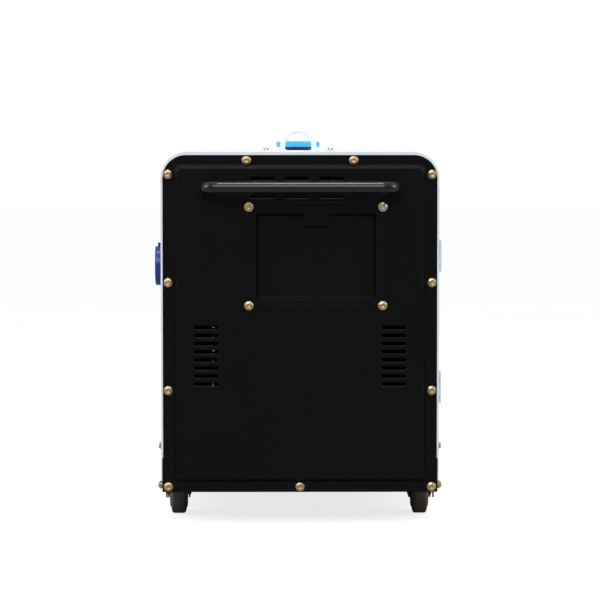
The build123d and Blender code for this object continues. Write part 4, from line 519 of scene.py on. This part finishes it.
def slab_patch(low, high, bevel=0.0):
    """Block with softened edges: a superellipse section lofted between two shrunken ends."""
    low, high = np.asarray(low, float), np.asarray(high, float)
    middle, half = (low + high) / 2, (high - low) / 2
    angle = np.linspace(0, TAU, 32, endpoint=False) + TAU / 64
    power = 0.12
    across = np.sign(np.cos(angle)) * np.abs(np.cos(angle)) ** power
    along = np.sign(np.sin(angle)) * np.abs(np.sin(angle)) ** power
    rows = [(-1, 0.0), (-1, 1.0), (1, 1.0), (1, 0.0)]
    if bevel:
        step = bevel / half[2]
        rows = [(-1, 0.0), (-1, 1 - bevel / half[0]), (-1 + step, 1.0), (1 - step, 1.0),
                (1, 1 - bevel / half[0]), (1, 0.0)]
    points = [np.stack([across * k * half[0], along * k * half[1], np.full(32, z * half[2])], 1)
              for z, k in rows]
    return np.concatenate(points) + middle, grid_faces(len(rows), 32, False, True)


def make_piece(name, patches, finish, body, stands_for=(), smooth=38.0):
    """One object from several patches; doubles merged, faces outward, hard edges kept above an angle."""
    verts, faces, base = [], [], 0
    for points, quads in patches:
        verts.append(points)
        faces.append(quads + base)
        base += len(points)
    mesh = bpy.data.meshes.new(name)
    mesh.from_pydata(np.concatenate(verts).tolist(), [], np.concatenate(faces).tolist())
    work = bmesh.new()
    work.from_mesh(mesh)
    bmesh.ops.remove_doubles(work, verts=work.verts, dist=2e-6)
    bmesh.ops.dissolve_degenerate(work, edges=work.edges, dist=1e-7)
    bmesh.ops.recalc_face_normals(work, faces=work.faces)
    work.to_mesh(mesh)
    work.free()
    mesh.polygons.foreach_set("use_smooth", [True] * len(mesh.polygons))
    mesh.set_sharp_from_angle(angle=math.radians(smooth))
    mesh.materials.append(finish)
    made = bpy.data.objects.new(name, mesh)
    bpy.context.scene.collection.objects.link(made)
    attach(made, body)
    if stands_for:
        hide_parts(*stands_for)
    return made


def centre_of(name):
    """Middle of a CAD node's box, as an array."""
    low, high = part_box(name)
    return (np.array(low) + np.array(high)) / 2


# ---- flange screws ---------------------------------------------------------------------------------
FLANGE_R = 0.0085
HEAD_H = 0.0050
SHANK_R = 0.0029
WASHER_T = 0.003


def islands(name):
    """Box corners of each separate solid in a CAD node."""
    work = bmesh.new()
    work.from_mesh(nodes[name].data)
    bmesh.ops.remove_doubles(work, verts=work.verts, dist=1e-6)
    seen, found = set(), []
    for start in work.verts:
        if start.index in seen:
            continue
        stack, members = [start], []
        seen.add(start.index)
        while stack:
            here = stack.pop()
            members.append(here.co[:])
            for edge in here.link_edges:
                other = edge.other_vert(here)
                if other.index not in seen:
                    seen.add(other.index)
                    stack.append(other)
        points = np.array(members)
        found.append((points.min(0), points.max(0)))
    work.free()
    return found


def screw_seats():
    """Seat point and outward direction of every canopy screw, from the CAD solids."""
    low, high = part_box("roof_panel")
    seats = []
    for a, b in islands("gold_screws"):
        middle = (a + b) / 2
        if middle[2] > high[2] - 0.012 and abs(middle[1]) < 0.4:
            out = np.array([0.0, 0.0, 1.0])
        elif abs(middle[0]) > high[0] - 0.0095:
            out = np.array([math.copysign(1.0, middle[0]), 0.0, 0.0])
        else:
            out = np.array([0.0, math.copysign(1.0, middle[1]), 0.0])
        tip = np.where(out > 0, b, np.where(out < 0, a, middle))
        seats.append((tip - out * HEAD_H, out))
    return seats


def hex_swell(radius, angle, height):
    """Radius factor that turns the upper part of the head into a hexagon with rounded corners."""
    flat = np.cos(np.pi / 6) / np.cos((angle + np.pi / 6) % (np.pi / 3) - np.pi / 6)
    blend = np.clip((height - 0.0016) / 0.0004, 0, 1) * np.clip((radius - 0.0030) / 0.0012, 0, 1)
    return 1 + (np.minimum(flat * 1.12, 1.10) - 1) * blend


def flange_screws():
    """Lathed screw: domed flange, hexagon by hex_swell, dished top with a round recess, short shank."""
    profile = rounded([(0.0, -0.009), (SHANK_R, -0.009), (SHANK_R, 0.0), (FLANGE_R, 0.0),
                       (FLANGE_R, 0.0009),
                       (0.0064, 0.0020), (0.0050, 0.0024), (0.0050, HEAD_H - 0.0006), (0.0042, HEAD_H),
                       (0.0031, HEAD_H - 0.0003), (0.0026, HEAD_H - 0.0013), (0.0, HEAD_H - 0.0015)],
                      0.0004, 2)
    washer = rounded([(SHANK_R, 0.0), (0.0070, 0.0), (0.0070, WASHER_T), (SHANK_R, WASHER_T),
                      (SHANK_R, 0.0)], 0.0004, 2)
    patches = []
    for seat, out in screw_seats():
        patches.append(lathe(profile, seat, out, 36, hex_swell))
        if abs(out[0]) > 0.5 and seat[2] < 0.09:
            patches.append(lathe(washer, seat - out * WASHER_T, out, 36))
    make_piece("flange_screws", patches, YELLOW_ZINC, "set", ["gold_screws"], 50.0)


# ---- casters ---------------------------------------------------------------------------------------
def tyre_profile(radius, width, hub):
    """Tyre with walls that lean in to a narrower tread and round shoulders: closed loop of (r, z)."""
    side, tread = width / 2, width * 0.37
    return rounded([(hub, -side), (radius - 0.012, -side + 0.0016), (radius, -tread), (radius, -0.0010),
                    (radius + 0.0002, 0.0), (radius, 0.0010), (radius, tread),
                    (radius - 0.012, side - 0.0016),
                    (hub, side), (hub, -side)], 0.0046, 5)


def hub_profile(hub, width, bore):
    """Hub with a deep dish each side, a bead at the rim and a boss: (r, z) closed loop."""
    half = width / 2
    return rounded([(bore, -half), (0.0085, -half), (0.0095, -half + 0.001), (0.0095, -0.005),
                    (0.0210, -0.005),
                    (0.0226, -half + 0.003), (0.0240, -half + 0.0016), (hub, -half + 0.0016),
                    (hub, half - 0.0016),
                    (0.0240, half - 0.0016), (0.0226, half - 0.003), (0.0210, 0.005), (0.0095, 0.005),
                    (0.0095, half - 0.001), (0.0085, half), (bore, half), (bore, -half)], 0.0008, 2)


def ribs_between(centre, inner, outer, depth, width, count):
    """Radial webs of the hub: thin slabs turned about the axle (X)."""
    patches = []
    for k in range(count):
        points, quads = slab_patch((-depth / 2, -width / 2, inner), (depth / 2, width / 2, outer))
        a = TAU * k / count
        turned = np.stack([points[:, 0], points[:, 1] * math.cos(a) - points[:, 2] * math.sin(a),
                           points[:, 1] * math.sin(a) + points[:, 2] * math.cos(a)], 1)
        patches.append((turned + centre, quads))
    return patches


def caster_wheels():
    """Tyre and hub of each wheel, lathed about its axle."""
    bodies = {"fixed_wheel_left": "rear_left_wheel", "fixed_wheel_right": "rear_right_wheel",
              "swivel_wheel_left": "front_left_wheel", "swivel_wheel_right": "front_right_wheel"}
    for name, body in bodies.items():
        low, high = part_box(name)
        centre = centre_of(name)
        radius = (high[2] - low[2]) / 2
        width = high[0] - low[0]
        hub = 0.026
        make_piece(name + "_tyre", [lathe(tyre_profile(radius, width, hub), centre, (1, 0, 0), 96)], TYRE,
                   body,
                   [name], 30.0)
        patches = [lathe(hub_profile(hub, width - 0.002, 0.0043), centre, (1, 0, 0), 64)]
        patches += ribs_between(centre, 0.0090, 0.0222, 0.022, 0.0022, 8)
        make_piece(name + "_hub", patches, HUB_PLASTIC, body, [name], 35.0)


# ---- fuel cap --------------------------------------------------------------------------------------
def fuel_cap():
    """Lathed cap; the skirt's radius carries 36 flutes, the top a rim, a dish and a grip bar."""
    low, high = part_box("fuel_cap")
    centre = np.array([(low[0] + high[0]) / 2, (low[1] + high[1]) / 2, 0.0])
    radius = (high[0] - low[0]) / 2
    top = high[2]
    skirt = top - 0.013
    plug = 0.0296

    def fluted(r, angle, height):
        """Radius scale: 36 narrow flutes, a cosine cubed, only where the radius nears the rim's."""
        band = np.clip((r - radius * 0.96) / (radius * 0.02), 0, 1)
        return 1 - 0.022 * band * (0.5 + 0.5 * np.cos(36 * angle)) ** 3

    profile = rounded([(0.0, low[2]), (plug, low[2]), (plug, skirt), (radius - 0.0016, skirt),
                       (radius, skirt + 0.0016),
                       (radius, top - 0.0036), (radius - 0.0034, top - 0.0005), (radius - 0.0075, top),
                       (radius - 0.0115, top - 0.0006), (radius - 0.0135, top - 0.0028),
                       (0.0, top - 0.0030)], 0.0016, 4)
    patches = [lathe(profile, centre, (0, 0, 1), 216, fluted)]
    grip = slab_patch(centre + (-radius + 0.014, -0.0055, top - 0.0035),
                      centre + (radius - 0.014, 0.0055, top), 0.0012)
    make_piece("ribbed_fuel_cap", patches + [grip], SKY, "cap", ["fuel_cap"], 32.0)


# ---- foam ------------------------------------------------------------------------------------------
def egg_crate(origin, u_axis, v_axis, out, size_u, size_v, base, peak, pitch):
    """Closed foam pad: height(u, v) = base + peak * (half + quarter sin + quarter sin), flat back."""
    columns = max(12, int(size_u / pitch * 8))
    rows = max(12, int(size_v / pitch * 8))
    u = np.linspace(0, size_u, columns)
    v = np.linspace(0, size_v, rows)
    U, V = np.meshgrid(u, v)
    edge = np.minimum.reduce([U, V, size_u - U, size_v - V])
    rise = np.clip(edge / (pitch * 0.3), 0, 1)
    height = base + peak * rise * (0.5 + 0.25 * np.sin(TAU * U / pitch) + 0.25 * np.sin(TAU * V / pitch))
    origin, u_axis, v_axis, out = (np.asarray(a, float) for a in (origin, u_axis, v_axis, out))
    flat = origin + U[..., None] * u_axis + V[..., None] * v_axis
    front = (flat + height[..., None] * out).reshape(-1, 3)
    rim = np.concatenate([np.arange(columns), np.arange(1, rows) * columns + columns - 1,
                          (rows - 1) * columns + np.arange(columns - 2, -1, -1),
                          np.arange(rows - 2, 0, -1) * columns])
    walls = np.concatenate([front[rim], flat.reshape(-1, 3)[rim]])
    back = flat[[0, 0, -1, -1], [0, -1, -1, 0]]
    return [(front, grid_faces(rows, columns)), (walls, grid_faces(2, len(rim), False, True)),
            (flat.reshape(-1, 3), grid_faces(rows, columns))]


def foam_pads():
    """Egg-crate pads inside both doors, cut away round the latch."""
    for name, body, out in (("left_door_foam", "left_door", 1.0), ("right_door_foam", "right_door", -1.0)):
        low, high = (np.array(c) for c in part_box(name))
        latch = centre_of(name.replace("foam", "latch"))
        x = low[0] if out > 0 else high[0]
        thick = high[0] - low[0]
        away = 0.055 if out > 0 else -0.055
        cut = latch[1] + away
        top, bottom = latch[2] + 0.047, latch[2] - 0.040
        near, far = (cut, high[1]) if out > 0 else (low[1], cut)
        patches = []
        for y0, y1, z0, z1 in ((low[1], high[1], top, high[2]), (near, far, bottom, top),
                               (low[1], high[1], low[2], bottom)):
            start = (x, y0, z0)
            patches += egg_crate(start, (0, 1, 0), (0, 0, 1), (out, 0, 0), y1 - y0, z1 - z0, thick * 0.45,
                                 thick * 0.5, 0.026)
        make_piece(name + "_pad", patches, FOAM, body, [name], 60.0)


# ---- instruments -----------------------------------------------------------------------------------
def bar_on_face(x, y, z, length, width, angle, thick=0.0004):
    """Thin printed bar on a face that looks along -X, turned by angle from upright."""
    points, quads = slab_patch((-thick, -width / 2, -length / 2), (0, width / 2, length / 2))
    c, s = math.cos(angle), math.sin(angle)
    turned = np.stack([points[:, 0] + x, y + points[:, 1] * c - points[:, 2] * s,
                       z + points[:, 1] * s + points[:, 2] * c], 1)
    return turned, quads


def instruments():
    """Voltmeter dial with scale and needle, hour counter drums, and their windows."""
    boxes = sorted(islands("meters"), key=lambda pair: pair[0][1])
    volt_low, volt_high = boxes[0]
    hour_low, hour_high = boxes[1]
    x = volt_high[0] - 0.0039
    y, z = (volt_low[1] + volt_high[1]) / 2, (volt_low[2] + volt_high[2]) / 2
    radius = 0.0265
    dial = lathe([(radius, 0.0), (radius, 0.0004), (0.0, 0.0004)], (x, y, z), (-1, 0, 0), 64)
    make_piece("voltmeter_dial", [dial], DIAL_WHITE, "set")
    marks = []
    for k in range(31):
        a = math.radians(-52 + 104 * k / 30)
        long_mark = k % 5 == 0
        length = 0.0042 if long_mark else 0.0024
        r = 0.0200 - length / 2
        marks.append(bar_on_face(x - 0.0005, y + r * math.sin(a), z - 0.006 + r * math.cos(a), length,
                                 0.0007 if long_mark else 0.0004, -a))
    arc = np.radians(np.linspace(-53, 53, 40))
    line = np.stack([np.full(40, x - 0.0006), y + 0.0202 * np.sin(arc), z - 0.006 + 0.0202 * np.cos(arc)],
                    1)
    marks.append(tube(line, 0.00025, 6))
    hour_x = hour_high[0] - 0.0039
    hy, hz = (hour_low[1] + hour_high[1]) / 2, (hour_low[2] + hour_high[2]) / 2
    for k in range(6):
        marks.append(bar_on_face(hour_x - 0.0005, hy - 0.015 + k * 0.006, hz, 0.010, 0.0047, 0.0))
    make_piece("dial_marks", marks, DIAL_INK, "set")
    a = math.radians(-38)
    needle = [bar_on_face(x - 0.0010, y + 0.009 * math.sin(a), z - 0.006 + 0.009 * math.cos(a), 0.020,
                          0.0009, -a),
              lathe(rounded([(0.0, 0.0016), (0.0026, 0.0016), (0.0026, 0.0)], 0.0005), (x, y, z - 0.006),
                    (-1, 0, 0), 24)]
    make_piece("voltmeter_needle", needle, NEEDLE_RED, "set")
    drums = []
    for k in range(6):
        for row in (-0.0026, 0.0, 0.0026):
            drums.append(bar_on_face(hour_x - 0.0009, hy - 0.015 + k * 0.006, hz + row, 0.0005, 0.0026,
                                     0.0))
    make_piece("hour_drums", drums, DIAL_WHITE, "set")
    glass = [lathe(rounded([(0.0268, 0.0), (0.0268, 0.0010), (0.0, 0.0014)], 0.0005), (x - 0.0024, y, z),
                   (-1, 0, 0), 64)]
    glass.append(slab_patch((hour_x - 0.0018, hy - 0.0178, hz - 0.0088),
                            (hour_x - 0.0010, hy + 0.0178, hz + 0.0088)))
    make_piece("meter_windows", glass, METER_GLASS, "set")


def lamp_colours():
    """Each indicator lamp gets its own lens colour, over the CAD lens, and a turned ring."""
    tints = (("red", LAMP_RED), ("amber", LAMP_AMBER), ("green", LAMP_GREEN))
    for (name, tint), (low, high) in zip(tints, sorted(islands("indicator_lamps"),
                                                       key=lambda pair: pair[0][1])):
        y, z = (low[1] + high[1]) / 2, (low[2] + high[2]) / 2
        lens = rounded([(0.0, 0.0), (0.0058, 0.0), (0.0058, 0.0034), (0.0040, 0.0052), (0.0, 0.0058)],
                       0.0022, 5)
        make_piece(name + "_lamp_lens", [lathe(lens, (high[0] - 0.0006, y, z), (-1, 0, 0), 40)], tint,
                   "set",
                   ["indicator_lamps"])
        ring = rounded([(0.0060, 0.0), (0.0079, 0.0), (0.0079, 0.0016), (0.0070, 0.0025),
                        (0.0060, 0.0020), (0.0060, 0.0)],
                       0.0006, 3)
        make_piece(name + "_lamp_ring", [lathe(ring, (high[0], y, z), (-1, 0, 0), 48)], CLEAR_ZINC, "set",
                   ["indicator_lamps"])


# ---- small fittings --------------------------------------------------------------------------------
def tube_loop(loop, axis, radius, sides=14):
    """Closed tube round a flat loop; its section stands on the loop's own axis."""
    outward = loop - loop.mean(0)
    outward /= np.linalg.norm(outward, axis=1)[:, None]
    angle = np.linspace(0, TAU, sides, endpoint=False)
    ring = (np.cos(angle)[None, :, None] * outward[:, None, :]
            + np.sin(angle)[None, :, None] * np.asarray(axis, float))
    points = loop[:, None, :] + radius * ring
    return points.reshape(-1, 3), grid_faces(len(loop), sides, True, True)


def ring_welds():
    """Weld bead where each leg of the lifting ring meets its plate, its radius rippled along the run."""
    low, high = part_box("lifting_ring")
    bar = 0.005
    mean = 0.0315
    plate = 0.0035
    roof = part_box("roof_panel")[1][2]
    y = (low[1] + high[1]) / 2
    patches = []
    angle = np.linspace(0, TAU, 144, endpoint=False)
    for side in (-1, 1):
        reach = bar + 0.0006 + 0.0003 * np.sin(24 * angle)
        loop = np.stack([side * mean + reach * np.cos(angle), y + reach * np.sin(angle),
                         np.full(144, roof + plate + 0.0004)], 1)
        patches.append(tube_loop(loop, (0, 0, 1), 0.0018))
    make_piece("ring_welds", patches, WHITE_COAT, "set")


def outlet_flange():
    """Heat shield ring round the exhaust outlet on the right side, and its three rivets."""
    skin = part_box("right_side_panel")[1][0]
    pipe_z, pipe_y, pipe_r = 0.5, 0.330, 0.017
    ring = rounded([(pipe_r + 0.0012, 0.0), (0.0300, 0.0), (0.0300, 0.0012), (0.0245, 0.0022),
                    (pipe_r + 0.0030, 0.0022),
                    (pipe_r + 0.0012, 0.0044), (pipe_r + 0.0012, 0.0)], 0.0008, 3)
    patches = [lathe(ring, (skin, pipe_y, pipe_z), (1, 0, 0), 72)]
    head = rounded([(0.0, 0.0020), (0.0012, 0.0019), (0.0022, 0.0010), (0.0024, 0.0)], 0.0004, 2)
    for k in range(3):
        a = TAU * (k + 0.25) / 3
        patches.append(lathe(head, (skin + 0.0012, pipe_y + 0.0268 * math.cos(a),
                                    pipe_z + 0.0268 * math.sin(a)),
                             (1, 0, 0), 20))
    make_piece("outlet_flange", patches, CLEAR_ZINC, "set")


def door_hinge_screws():
    """Pan-head screws in the hinge leaves, two to each side of each hinge, riding with what they hold."""
    head = rounded([(0.0, 0.0022), (0.0018, 0.0021), (0.0032, 0.0012), (0.0035, 0.0)], 0.0006, 3)
    for label, side, body in (("left", -1.0, "left_door"), ("right", 1.0, "right_door")):
        fixed, moving = [], []
        for low, high in islands("door_hinges"):
            if low[0] * side < 0:
                continue
            x = side * (abs(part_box("roof_panel")[1][0]) + 0.002)
            if side < 0:
                far = high[1]
                pin = low[1] + 0.0037
            else:
                far = low[1]
                pin = high[1] - 0.0037
            away = math.copysign(1.0, far - pin)
            for z in (low[2] + 0.012, high[2] - 0.014):
                fixed.append(lathe(head, (x, pin + away * 0.0140, z), (side, 0, 0), 24))
                moving.append(lathe(head, (x, pin - away * 0.0150, z), (side, 0, 0), 24))
        make_piece(label + "_hinge_screws_fixed", fixed, CLEAR_ZINC, "set")
        make_piece(label + "_hinge_screws_moving", moving, CLEAR_ZINC, body)


flange_screws()
caster_wheels()
fuel_cap()
foam_pads()
instruments()
lamp_colours()
ring_welds()
outlet_flange()
door_hinge_screws()


# ---- studio ----------------------------------------------------------------------------------------
def studio_floor():
    """Pale floor, flat and wide, with a faint cloudy tone; seen bright, but throwing little light upward."""
    made, tree, shader = principled("studio_floor", Specular_IOR_Level=0.0)
    mottle = use(tree, MOTTLE, Broad_Scale=0.8, Fine_Scale=60.0)
    tone = blend_colour(tree, (mottle, "Broad"), (0.34, 0.34, 0.34), (0.37, 0.37, 0.37))
    tree.links.new(tone.outputs[2], shader.inputs["Base Color"])
    shader.inputs["Roughness"].default_value = 0.9
    path = tree.nodes.new("ShaderNodeLightPath")
    glow = tree.nodes.new("ShaderNodeMix")
    glow.data_type = "RGBA"
    glow.inputs[6].default_value = (0.02, 0.02, 0.02, 1)
    glow.inputs[7].default_value = (1, 1, 1, 1)
    tree.links.new(path.outputs["Is Camera Ray"], glow.inputs[0])
    tree.links.new(glow.outputs[2], shader.inputs["Emission Color"])
    shader.inputs["Emission Strength"].default_value = 0.78
    mesh = bpy.data.meshes.new("floor")
    reach = 30.0
    mesh.from_pydata([(-reach, -reach, 0), (reach, -reach, 0), (reach, reach, 0), (-reach, reach, 0)], [],
                     [(0, 1, 2, 3)])
    mesh.materials.append(made)
    floor = bpy.data.objects.new("floor", mesh)
    bpy.context.scene.collection.objects.link(floor)


def softbox(name, place, target, size, power, tint=(1, 1, 1)):
    """Rectangular area light aimed at a point."""
    light = bpy.data.lights.new(name, "AREA")
    light.shape = "RECTANGLE"
    light.size, light.size_y = size
    light.energy = power
    light.color = tint
    made = bpy.data.objects.new(name, light)
    made.location = place
    made.rotation_euler = (Vector(target) - Vector(place)).to_track_quat("-Z", "Y").to_euler()
    bpy.context.scene.collection.objects.link(made)


def studio_world():
    """White surround seen by the camera; softer grey for the light it gives, brighter overhead."""
    world = bpy.data.worlds.new("studio")
    bpy.context.scene.world = world
    world.use_nodes = True
    tree = world.node_tree
    back = tree.nodes["Background"]
    coord = tree.nodes.new("ShaderNodeTexCoord")
    split = tree.nodes.new("ShaderNodeSeparateXYZ")
    ramp = tree.nodes.new("ShaderNodeValToRGB")
    ramp.color_ramp.elements[0].position = 0.0
    ramp.color_ramp.elements[0].color = (0.06, 0.06, 0.065, 1)
    ramp.color_ramp.elements[1].position = 0.85
    ramp.color_ramp.elements[1].color = (0.70, 0.72, 0.75, 1)
    ramp.color_ramp.elements.new(0.25).color = (0.22, 0.225, 0.235, 1)
    path = tree.nodes.new("ShaderNodeLightPath")
    mix = tree.nodes.new("ShaderNodeMix")
    mix.data_type = "RGBA"
    mix.inputs[7].default_value = (1.0, 1.0, 1.0, 1)
    tree.links.new(coord.outputs["Generated"], split.inputs[0])
    tree.links.new(split.outputs["Z"], ramp.inputs[0])
    tree.links.new(path.outputs["Is Camera Ray"], mix.inputs[0])
    tree.links.new(ramp.outputs[0], mix.inputs[6])
    tree.links.new(mix.outputs[2], back.inputs[0])
    back.inputs[1].default_value = 1.0


PANEL_FACE = -0.458
CAMERA_SIDE = -0.045
CAMERA_DISTANCE = 5.0
CAMERA_HEIGHT = 0.690
AIM_HEIGHT = 0.4205
VIEW_WIDTH = 1.119
camera_data = bpy.data.cameras.new("camera")
camera_data.sensor_width = 36.0
camera_data.lens = 36.0 * CAMERA_DISTANCE / VIEW_WIDTH
camera = bpy.data.objects.new("camera", camera_data)
camera.location = (CAMERA_SIDE, PANEL_FACE - CAMERA_DISTANCE, CAMERA_HEIGHT)
aim = Vector((0.0, PANEL_FACE, AIM_HEIGHT)) - camera.location
camera.rotation_euler = aim.to_track_quat("-Z", "Y").to_euler()
bpy.context.scene.collection.objects.link(camera)
bpy.context.scene.camera = camera

studio_floor()
studio_world()
softbox("overhead", (0.0, -0.75, 3.2), (0.0, -0.1, 0.6), (0.8, 0.45), 23.0, (0.86, 0.94, 1.0))
softbox("front_high", (-0.6, -4.6, 3.3), (0.0, -0.4, 0.4), (4.2, 2.4), 130.0, (0.97, 0.985, 1.0))
softbox("left_side", (-3.2, -0.9, 1.7), (0.0, 0.0, 0.4), (1.6, 2.2), 42.0)
softbox("right_side", (3.2, -0.9, 1.7), (0.0, 0.0, 0.4), (1.6, 2.2), 42.0)
softbox("behind", (0.0, 3.8, 2.4), (0.0, 0.2, 0.4), (2.6, 1.6), 70.0)
bpy.context.scene.view_settings.view_transform = "Standard"
